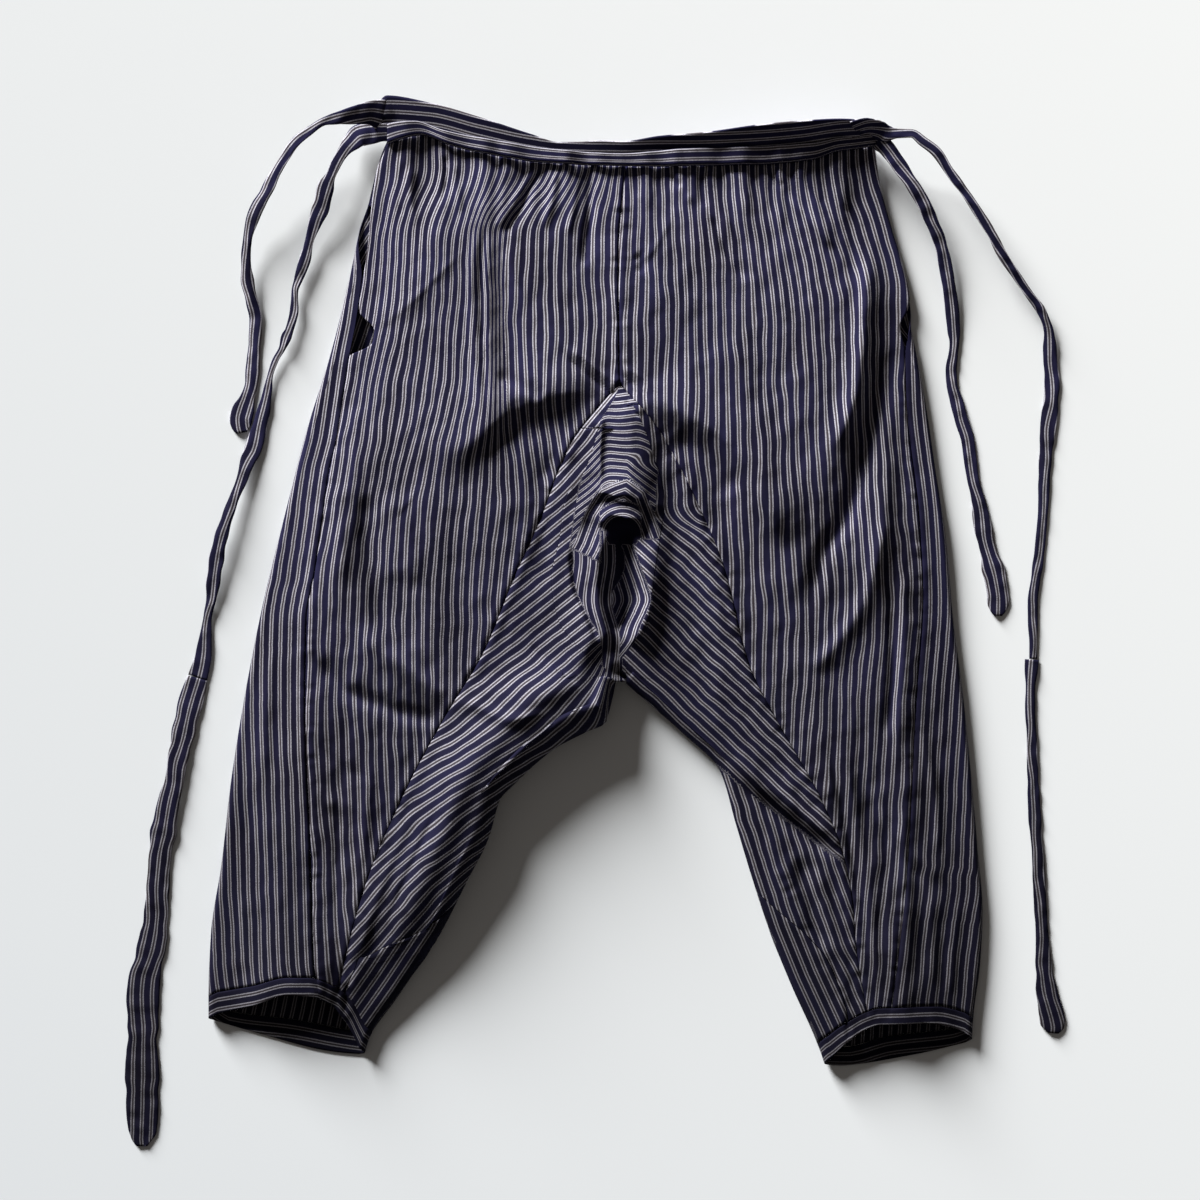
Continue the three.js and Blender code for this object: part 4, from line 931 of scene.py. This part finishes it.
# ------------------------------------------------------------------ the panels' stripes
# Where stripes of a front lie: for rows of y, the x of every stripe whose number is in the
# heading, counted from the centre seam.
FAN_LEFT = [
    # y, x at stripes 0, 4, 8, 12, 16, 20, 24, 28, 33
    (414, 25, 4, -17, -38, -64, -92, -119, -145, -177),
    (388, 25, 4, -17, -38, -64, -92, -119, -145, -184),
    (329, 22, -10, -43, -74, -92, -108, -134, -162, -192),
    (274, 21, -11, -44, -77, -89, -110, -137, -165, -199),
    (189, 21, -11, -44, -75, -91, -118, -146, -180, -214),
    (104, 21, -3, -36, -68, -101, -133, -166, -192, -229),
    (19, 21, -3, -40, -75, -107, -139, -172, -202, -242),
    (-66, 18, -10, -42, -76, -108, -140, -172, -205, -245),
    (-151, 18, -10, -42, -74, -104, -136, -169, -202, -243),
    (-236, 18, -10, -42, -70, -98, -128, -160, -195, -239),
    (-330, 18, -10, -42, -64, -90, -118, -149, -187, -234),
]
STRIPES_LEFT = (0, 4, 8, 12, 16, 20, 24, 28, 33)
FAN_RIGHT = [
    # y, x at stripes 0, 5, 9, 13, 17, 20, 23, 26, 30
    (414, 25, 60, 89, 117, 145, 165, 187, 208, 236),
    (388, 25, 60, 89, 117, 145, 165, 187, 208, 240),
    (274, 21, 62, 95, 128, 160, 184, 209, 234, 267),
    (189, 20, 62, 96, 130, 163, 188, 213, 236, 264),
    (104, 20, 63, 98, 133, 167, 192, 217, 241, 272),
    (19, 20, 63, 99, 136, 172, 197, 222, 246, 278),
    (-66, 20, 60, 98, 136, 170, 193, 217, 241, 272),
    (-151, 20, 58, 95, 132, 165, 188, 213, 237, 268),
    (-236, 20, 55, 92, 128, 160, 184, 208, 231, 262),
    (-350, 20, 52, 88, 123, 154, 177, 200, 222, 250),
]
STRIPES_RIGHT = (0, 5, 9, 13, 17, 20, 23, 26, 30)
FANS = {"left": (FAN_LEFT, STRIPES_LEFT), "right": (FAN_RIGHT, STRIPES_RIGHT)}


def fan(name, x, y):
    """A front's stripe number at places in the plan."""
    table, stripes = FANS[name]
    rows = np.array(table, float)[::-1]
    shape = x.shape
    x, y = x.ravel(), y.ravel()
    curves = np.stack([read_table(rows, 0, k + 1, y) for k in range(len(stripes))], 1)
    ascending = curves[:, -1:] > curves[:, :1]
    curves = np.where(ascending, curves, -curves)
    want = np.where(ascending[:, 0], x, -x)
    i = np.clip((curves < want[:, None]).sum(1) - 1, 0, len(stripes) - 2)
    pick = np.arange(len(x))
    low, high = curves[pick, i], curves[pick, i + 1]
    number = np.array(stripes, float)
    t = (want - low) / (high - low)
    return mix(number[i], number[i + 1], t).reshape(shape)


def even(values, reach, axis):
    """The values with their short-range unevenness taken out."""
    weights = np.exp(-np.linspace(-2, 2, 2 * reach + 1) ** 2)
    weights /= weights.sum()
    pad = [(0, 0), (0, 0)]
    pad[axis] = (reach, reach)
    padded = np.pad(values, pad, mode="edge")
    size = values.shape[axis]
    return sum(w * np.take(padded, np.arange(k, k + size), axis) for k, w in enumerate(weights))


def extra(points):
    """How much more cloth lies across a row than its plan shows, less its even part."""
    plan = np.hypot(*np.moveaxis(np.diff(points[..., :2], axis=1), -1, 0))
    total = along_columns(points, plan)
    return even(total - even(total, 16, 1), 3, 0)


# ------------------------------------------------------------------ the gussets' stripes
# Borders in the plan, as rows of [x, y]: the hood over the crotch, the fold that hangs on each
# side of the hollow below it, and the fold over the right leg.
HOOD_EDGE = [[-24, 56], [-17, 69], [-8, 93], [4, 112], [15, 117], [27, 121], [42, 110], [51, 87],
             [59, 65], [68, 45]]
LEFT_FOLD_OUTER = [[4, 80], [-18, 66], [-19, 45], [-16, 27], [-8, 10], [-4, 2], [4, -12], [6, -24],
                   [6, -75]]
LEFT_FOLD_INNER = [[17, 80], [18, 53], [14, 19], [21, -15], [17, -49], [14, -75]]
RIGHT_FOLD_EDGE = [[30, 70], [38, 48], [44, 31], [47, 19], [44, 10], [38, -3], [34, -15], [28, -24],
                   [23, -30]]
HOLLOW = (23, 74)      # the hollow's upper end
RIGHT_LEG_FOLD = [[60, -90], [102, -120], [132, -145], [168, -172], [206, -200], [240, -222]]
HOOD_LEFT = [[20, 200], [19, 195], [3.5, 167], [-5, 140], [-13, 116], [-22, 60]]
HOOD_RIGHT = [[24, 200], [34, 189], [46, 165], [54, 140], [52, 115], [50, 60]]


def diagonal(x, y, degrees, pivot=(0, 0), number=0.0):
    """Stripe numbers of cloth whose stripes rise to the right at an angle, from a known place."""
    angle = math.radians(degrees)
    across_it = (y - pivot[1]) * math.cos(angle) - (x - pivot[0]) * math.sin(angle)
    return number + across_it / PITCH


def turned_stripes(x, y, number, degrees, pivot, share, base):
    """number, turned to another angle where share is 1. Both agree at the pivot."""
    there = float(diagonal(pivot[0], pivot[1], base))
    return mix(number, diagonal(x, y, degrees, pivot, there), share)


GUSSET_ANGLES = {"left": 38.5, "right": -43}


def left_gusset_number(x, y):
    base = GUSSET_ANGLES["left"]
    lift = 15 * np.exp(np.minimum((x - 8) / 8, 0.6)) * smooth((-8 - y) / 25)
    number = diagonal(x, y - lift, base)
    upper = smooth((y - 88) / 40) * smooth((x + 50) / 25)
    number = turned_stripes(x, y, number, 50, (-14, 108), upper, base)
    flat = smooth((-50 - y) / 60) * smooth((y + 200) / 50)
    number = turned_stripes(x, y, number, 32, (-112, -110), flat, base)
    hem = smooth((-170 - y) / 70)
    return turned_stripes(x, y, number, 48, (-176, -215), hem, base)


def right_gusset_number(x, y):
    base = GUSSET_ANGLES["right"]
    number = diagonal(x, y, base)
    steep = smooth((y - 74) / 34) * smooth((100 - x) / 14)
    number = turned_stripes(x, y, number, -86, (68, 96), steep, base)
    from_edge = near_line(INNER_RIGHT, x, y)[0]
    below_fold = y < y_at(RIGHT_LEG_FOLD, x)
    return np.where(below_fold, -from_edge / PITCH, number)


def crotch_number(x, y):
    """Stripe numbers over the crotch gusset, region by region."""
    # across the hood, dipping on both of its sides
    low = smooth((146 - y) / 16)
    right_dip = mix(8.5 * np.clip((x - 34) / 17, 0, 1.6) ** 1.5, 0.8 * np.maximum(x - 27, 0), low)
    left_dip = 4 * np.clip((13 - x) / 9, 0, 1) ** 2 + 0.9 * np.maximum(5 - x, 0)
    waver = 0.9 * np.sin(x / 6.5 + y / 22)
    hood = (189 - y - (right_dip + left_dip) + waver) / 6.2
    # along the hood's edge below it, and in rings round the hollow's upper end
    below = y_at(HOOD_EDGE, x) > y
    distance = near_line(HOOD_EDGE, x, y)[0]
    radius = np.hypot(x - HOLLOW[0], y - HOLLOW[1])
    number = np.where(below, 11.2 + distance / 6.3, hood)
    ringed = below & (distance > 9) & (radius < 28) & (x > 4) & (x < 39)
    number = np.where(ringed, -radius / 5.8 + 2.41, number)
    # as the gussets' own beside the hood
    number = np.where((x < x_at(HOOD_LEFT, y)) & ~below, left_gusset_number(x, y), number)
    number = np.where((x > x_at(HOOD_RIGHT, y)) & ~below, right_gusset_number(x, y), number)
    # down the hanging folds, and as the gussets' own outside them
    inner = x_at(LEFT_FOLD_INNER, y)
    outer = x_at(LEFT_FOLD_OUTER, y)
    right = x_at(RIGHT_FOLD_EDGE, y)
    lower = y < np.where(x < 5, 62 - 0.5 * (x + 19), 78)
    number = np.where(lower & (x <= inner) & (x > outer), (inner - x) / 7 + 0.25, number)
    number = np.where(lower & (x <= outer), left_gusset_number(x, y), number)
    number = np.where(lower & (x > inner) & (x < right), (right - x) / 6.8, number)
    number = np.where((y < 70) & (x >= right), right_gusset_number(x, y), number)
    # painted shade: deep in the hollow the light lines are left out, plain navy, so that it reads dark
    deep = mix(inner, right - 9, np.clip((y - 26) / 34, 0, 1))
    hollow = ((radius < 14) & (y > 66)) | (lower & (x > inner) & (x < deep))
    return np.where(hollow, 0.0, number)


# Cloth coordinates are (across the stripes, along them). Whole pitches keep the first positive.
WHOLE = 100 * PITCH
SEAM_PHASE = 500       # 61.7 pitches: where a stripe is cut at the panels' seams
# Each gusset's stripe numbers and the angle of its stripes in degrees.
GUSSET_NUMBERS = {"left": (left_gusset_number, 39), "right": (right_gusset_number, -43)}

for name, side in SIDES.items():
    levels = np.linspace(0, 1, 341)
    points = front_points(side, levels, 120)
    x = points[..., 0]
    plan_y = level_y(levels[:, None], x)
    u = (fan(name, x, plan_y) * PITCH - extra(points)
         + 1.5 * noise(x / 30, plan_y / 50) + 0.7 * noise(x / 10, plan_y / 17))
    cloth = np.stack([u + SEAM_PHASE, plan_y], -1)
    panel(f"front_{name}", points, cloth, WALL, ((170, 60), (0, 0, 1)))

    levels = np.linspace(side["start"], 1, 260)
    points = gusset_points(side, levels, 70)
    x, y = points[..., 0], points[..., 1]
    number, grain = GUSSET_NUMBERS[name]
    grain = math.radians(grain)
    u = number(x, y) * PITCH + 1.3 * noise(x / 30, y / 30) + 0.6 * noise(x / 12, y / 12)
    cloth = np.stack([u + WHOLE, x * math.cos(grain) + y * math.sin(grain)], -1)
    panel(f"gusset_{name}", points, cloth, WALL, ((30, 5), (0, 0, 1)),
          jump=len(body_and_legs(levels)[0]))

    levels = np.linspace(0, 1, 200)
    points = back_points(side, levels, (20, 14, 26))
    from_seam = along_columns(points)
    from_seam = from_seam[:, -1:] - from_seam
    from_edge = near_line(side["inner"], points[..., 0], points[..., 1])[0]
    # low on the legs' inner side the stripes follow the inner outline
    inner_side = (points[..., 1] < -170) & (from_edge < 70) & (points[..., 2] > 6.5)
    inner_side[:, 30:] = False
    from_seam = np.where(inner_side, from_edge, from_seam)
    cloth = np.stack([from_seam + SEAM_PHASE, along_rows(points)], -1)
    panel(f"back_{name}", points, cloth, WALL, ((100, 6), (0, 0, -1)),
          jump=len(body_and_legs(levels)[0]))


def crotch_border(side, levels):
    chevron = crossing_x(side["chevron"], levels)
    line = crossing_x(side["crotch"], levels)
    return np.where(levels < side["start"], chevron, line) - side["outward"] * SEAM_GAP


levels = np.linspace(CROTCH_START, CROTCH_END, 240)
points = top_run(crotch_border(SIDES["left"], levels), crotch_border(SIDES["right"], levels),
                 levels, 110)
u = crotch_number(points[..., 0], points[..., 1]) * PITCH
cloth = np.stack([u + WHOLE, points[..., 0]], -1)
panel("crotch_gusset", points, cloth, WALL, ((5, 30), (0, 0, 1)))

# ------------------------------------------------------------------ hem bands
for name, side in SIDES.items():
    levels = np.linspace(1, BAND_END, 13)
    front = front_points(side, levels, 46)
    gusset = gusset_points(side, levels, 50)
    back = back_points(side, levels, (60, 14, 26))
    ring = np.concatenate([front, gusset[:, 1:], back[:, 1:-1]], 1)
    ring[0, :, 1] -= 2 * SEAM_GAP
    cloth = np.stack([along_rows(ring) + SEAM_PHASE, along_columns(ring)], -1)
    panel(f"hem_band_{name}", ring, cloth, BAND_WALL, ((6, 20), (0, 0, 1)), True)


# ------------------------------------------------------------------ waistbands
def shelf_points(feet, top_line, up, slope, rows):
    """A waistband: it stands up from its feet on the seam, then lies back nearly flat."""
    x = feet[:, 0]
    run = y_at(top_line, x) - feet[:, 1]
    t = np.linspace(0, 1, rows)[:, None]
    rising = np.clip(t / 0.4, 0, 1)
    lying = np.clip((t - 0.4) / 0.6, 0, 1)
    return np.stack([x + 0 * t, feet[:, 1] + run * mix(0.08 * rising, 1, lying),
                     feet[:, 2] + up * rising + slope * run * lying], -1)


FRONT_BAND_ROWS = 16
FRONT_BAND_STRIPES = 3.05     # pitches from the front band's seam to its top
left_row = front_points(SIDES["left"], np.array([0.0]), 110)[0]
right_row = front_points(SIDES["right"], np.array([0.0]), 110)[0][::-1][1:]
feet = np.concatenate([left_row, right_row]) + np.array([0, -0.7, 0.5])
feet[:, 2] = even(feet[:, 2:], 5, 0)[:, 0] + 0.7
points = shelf_points(feet, FRONT_BAND_TOP, 5, 0.14, FRONT_BAND_ROWS)
along = along_columns(points)
down = np.linspace(0, FRONT_BAND_STRIPES, FRONT_BAND_ROWS)[:, None] * PITCH + 0 * along
cloth = np.stack([down - 2.4 + 5 * WHOLE, along], -1)
panel("waistband_front", points, cloth, BAND_WALL, ((6, 100), (0, -1, 0.3)))

# The back band rises more steeply at its right end, where it stands up in the photo.
x = np.linspace(-181, 224, 240)
feet = np.stack([x, y_at(BACK_WAIST, x), np.full(x.shape, 3.1)], -1)
slope = mix(0.22, 0.95, smooth((x + 40) / 200))
points = shelf_points(feet, BACK_BAND_TOP, 8.5, slope, 24)
cloth = np.stack([along_rows(points) + SEAM_PHASE, along_columns(points)], -1)
panel("waistband_back", points, cloth, BAND_WALL, ((9, 120), (0, -1, 0.3)))

# ------------------------------------------------------------------ ties
TIE_THICK = 2.2
TIE_LYING = 1.2        # the height of a tie's middle on the surface
TIE_AROUND = 24        # points round a tie
TIE_STEP = 2           # from one ring of points to the next


def tie(name, rows):
    """A tie's rings of points, the length along it, its width and how far each point of a ring
    lies to the side, from -1 to 1."""
    rows = np.array([row + [TIE_LYING, 0][len(row) - 3:] for row in rows], float)
    hops = np.linalg.norm(np.diff(rows[:, [0, 1, 3]], axis=0), axis=1)
    reach = np.concatenate([[0], np.cumsum(hops)])
    at = np.linspace(0, reach[-1], max(int(reach[-1] / TIE_STEP), 8))
    table = np.column_stack([reach, rows])
    x, y, width, z, roll = (read_table(table, 0, k, at) for k in range(1, 6))
    middle = np.stack([x, y, z], -1)
    way = np.gradient(middle, axis=0)
    way /= np.linalg.norm(way, axis=1, keepdims=True)
    side = np.stack([way[:, 1], -way[:, 0], 0 * x], -1)
    side /= np.linalg.norm(side, axis=1, keepdims=True)
    angle = np.radians(roll)[:, None]
    side = side * np.cos(angle) + np.cross(way, side) * np.sin(angle)
    up = np.cross(side, way)
    phi = np.linspace(0, 2 * math.pi, TIE_AROUND, endpoint=False)
    sideways = np.sign(np.cos(phi)) * np.abs(np.cos(phi)) ** 0.8
    upwards = np.sign(np.sin(phi)) * np.abs(np.sin(phi)) ** 0.7
    own = len(name) * 7.3 + x[0]
    shown = width * (1 + 0.10 * noise(at / 11 + own, 0 * at + 3))
    rumple = noise(at[:, None] / 8 + own, sideways[None] * 1.1 + at[:, None] / 23)
    thick = TIE_THICK / 2 * (1 + 0.75 * rumple)
    points = (middle[:, None] + side[:, None] * (sideways[None, :, None] * shown[:, None, None] / 2)
              + up[:, None] * (upwards[None, :] * thick)[..., None])
    points[..., 2] = np.maximum(points[..., 2], 0.02)
    return points, at, width, sideways


def tube(name, points, cloth):
    """A closed tube of rings, capped at both ends."""
    height, width = points.shape[:2]
    grid = np.arange(height * width).reshape(height, width)
    turned = np.roll(grid, -1, 1)
    quads = np.stack([grid[:-1].ravel(), grid[1:].ravel(), turned[1:].ravel(),
                      turned[:-1].ravel()], 1)
    first, last = height * width, height * width + 1
    caps = ([[first, p, q] for p, q in zip(grid[0], turned[0])]
            + [[last, q, p] for p, q in zip(grid[-1], turned[-1])])
    both = np.concatenate([points.reshape(-1, 3), points[:1].mean(1), points[-1:].mean(1)])
    uv = np.concatenate([cloth.reshape(-1, 2), cloth[:1].mean(1), cloth[-1:].mean(1)])
    return build(name, both, quads.tolist() + caps, uv)


# How far the stripes are turned off the middle of a tie, and up to what length.
TIE_TURNS = {
    "tie_back_right": (PITCH / 2, 225), "tie_back_left": (-2.2, 330), "tie_front_left": (2.6, 150),
    "tie_back_right_end": (-1.8, 320), "tie_front_right": (1.6, 70),
}
for name, rows in TIES.items():
    points, at, width, sideways = tie(name, rows)
    u = (sideways[None] * width[:, None] / 2 + PITCH / 2
         + 1.6 * noise(at / 26, at * 0 + len(name))[:, None])
    shift, reach = TIE_TURNS.get(name, (0, 1))
    u = u + shift * (1 - smooth((at - reach) / 20))[:, None]
    cloth = np.stack([u + 5 * WHOLE, at[:, None] + 0 * u], -1)
    dress(name, tube(name + "_cloth", points, cloth))

# ------------------------------------------------------------------ the photo's light
scene = bpy.context.scene
scene.view_settings.view_transform = "Standard"
world = bpy.data.worlds.new("room")
scene.world = world
world.use_nodes = True
world.node_tree.nodes["Background"].inputs[0].default_value = (1.0, 0.90, 0.81, 1)
world.node_tree.nodes["Background"].inputs[1].default_value = 0.085

lamp = bpy.data.lights.new("window", "SUN")
lamp.energy = 10.4
lamp.angle = math.radians(24)
lamp.color = (1.0, 0.99, 0.97)
sun = bpy.data.objects.new("window", lamp)
sun.rotation_euler = Vector((-0.533, 0.794, 0.292)).to_track_quat("Z", "Y").to_euler()
scene.collection.objects.link(sun)

bpy.ops.mesh.primitive_plane_add(size=8, location=(0, 0, -0.0003))
floor = bpy.context.object
floor.name = "floor"
paper = bpy.data.materials.new("pale surface")
paper.use_nodes = True
tree = paper.node_tree
# painted light: the floor's colour is lighter towards the upper right and darker towards the lower
# left, as the light falls off
painted_floor_light = tree.nodes.new("ShaderNodeMix")
painted_floor_light.data_type = "RGBA"
painted_floor_light.inputs[6].default_value = (0.70, 0.735, 0.77, 1)
painted_floor_light.inputs[7].default_value = (0.86, 0.885, 0.90, 1)
tree.links.new(fall_off(tree, (0.45, 0.55, 0), -0.5, 0.5), painted_floor_light.inputs[0])
tree.links.new(painted_floor_light.outputs[2], tree.nodes["Principled BSDF"].inputs["Base Color"])
tree.nodes["Principled BSDF"].inputs["Roughness"].default_value = 0.9
floor.data.materials.append(paper)

# Straight above the photo's middle. The photo is 1200 pixels wide, at 0.85 mm to each.
CAMERA_HEIGHT, PHOTO_WIDTH = 3.0, 1.02
camera_data = bpy.data.cameras.new("camera")
camera_data.sensor_width = 36
camera_data.lens = 36 * CAMERA_HEIGHT / PHOTO_WIDTH
camera_data.clip_end = 20
camera = bpy.data.objects.new("camera", camera_data)
camera.location = (0.00425, 0.0187, CAMERA_HEIGHT)
scene.collection.objects.link(camera)
scene.camera = camera
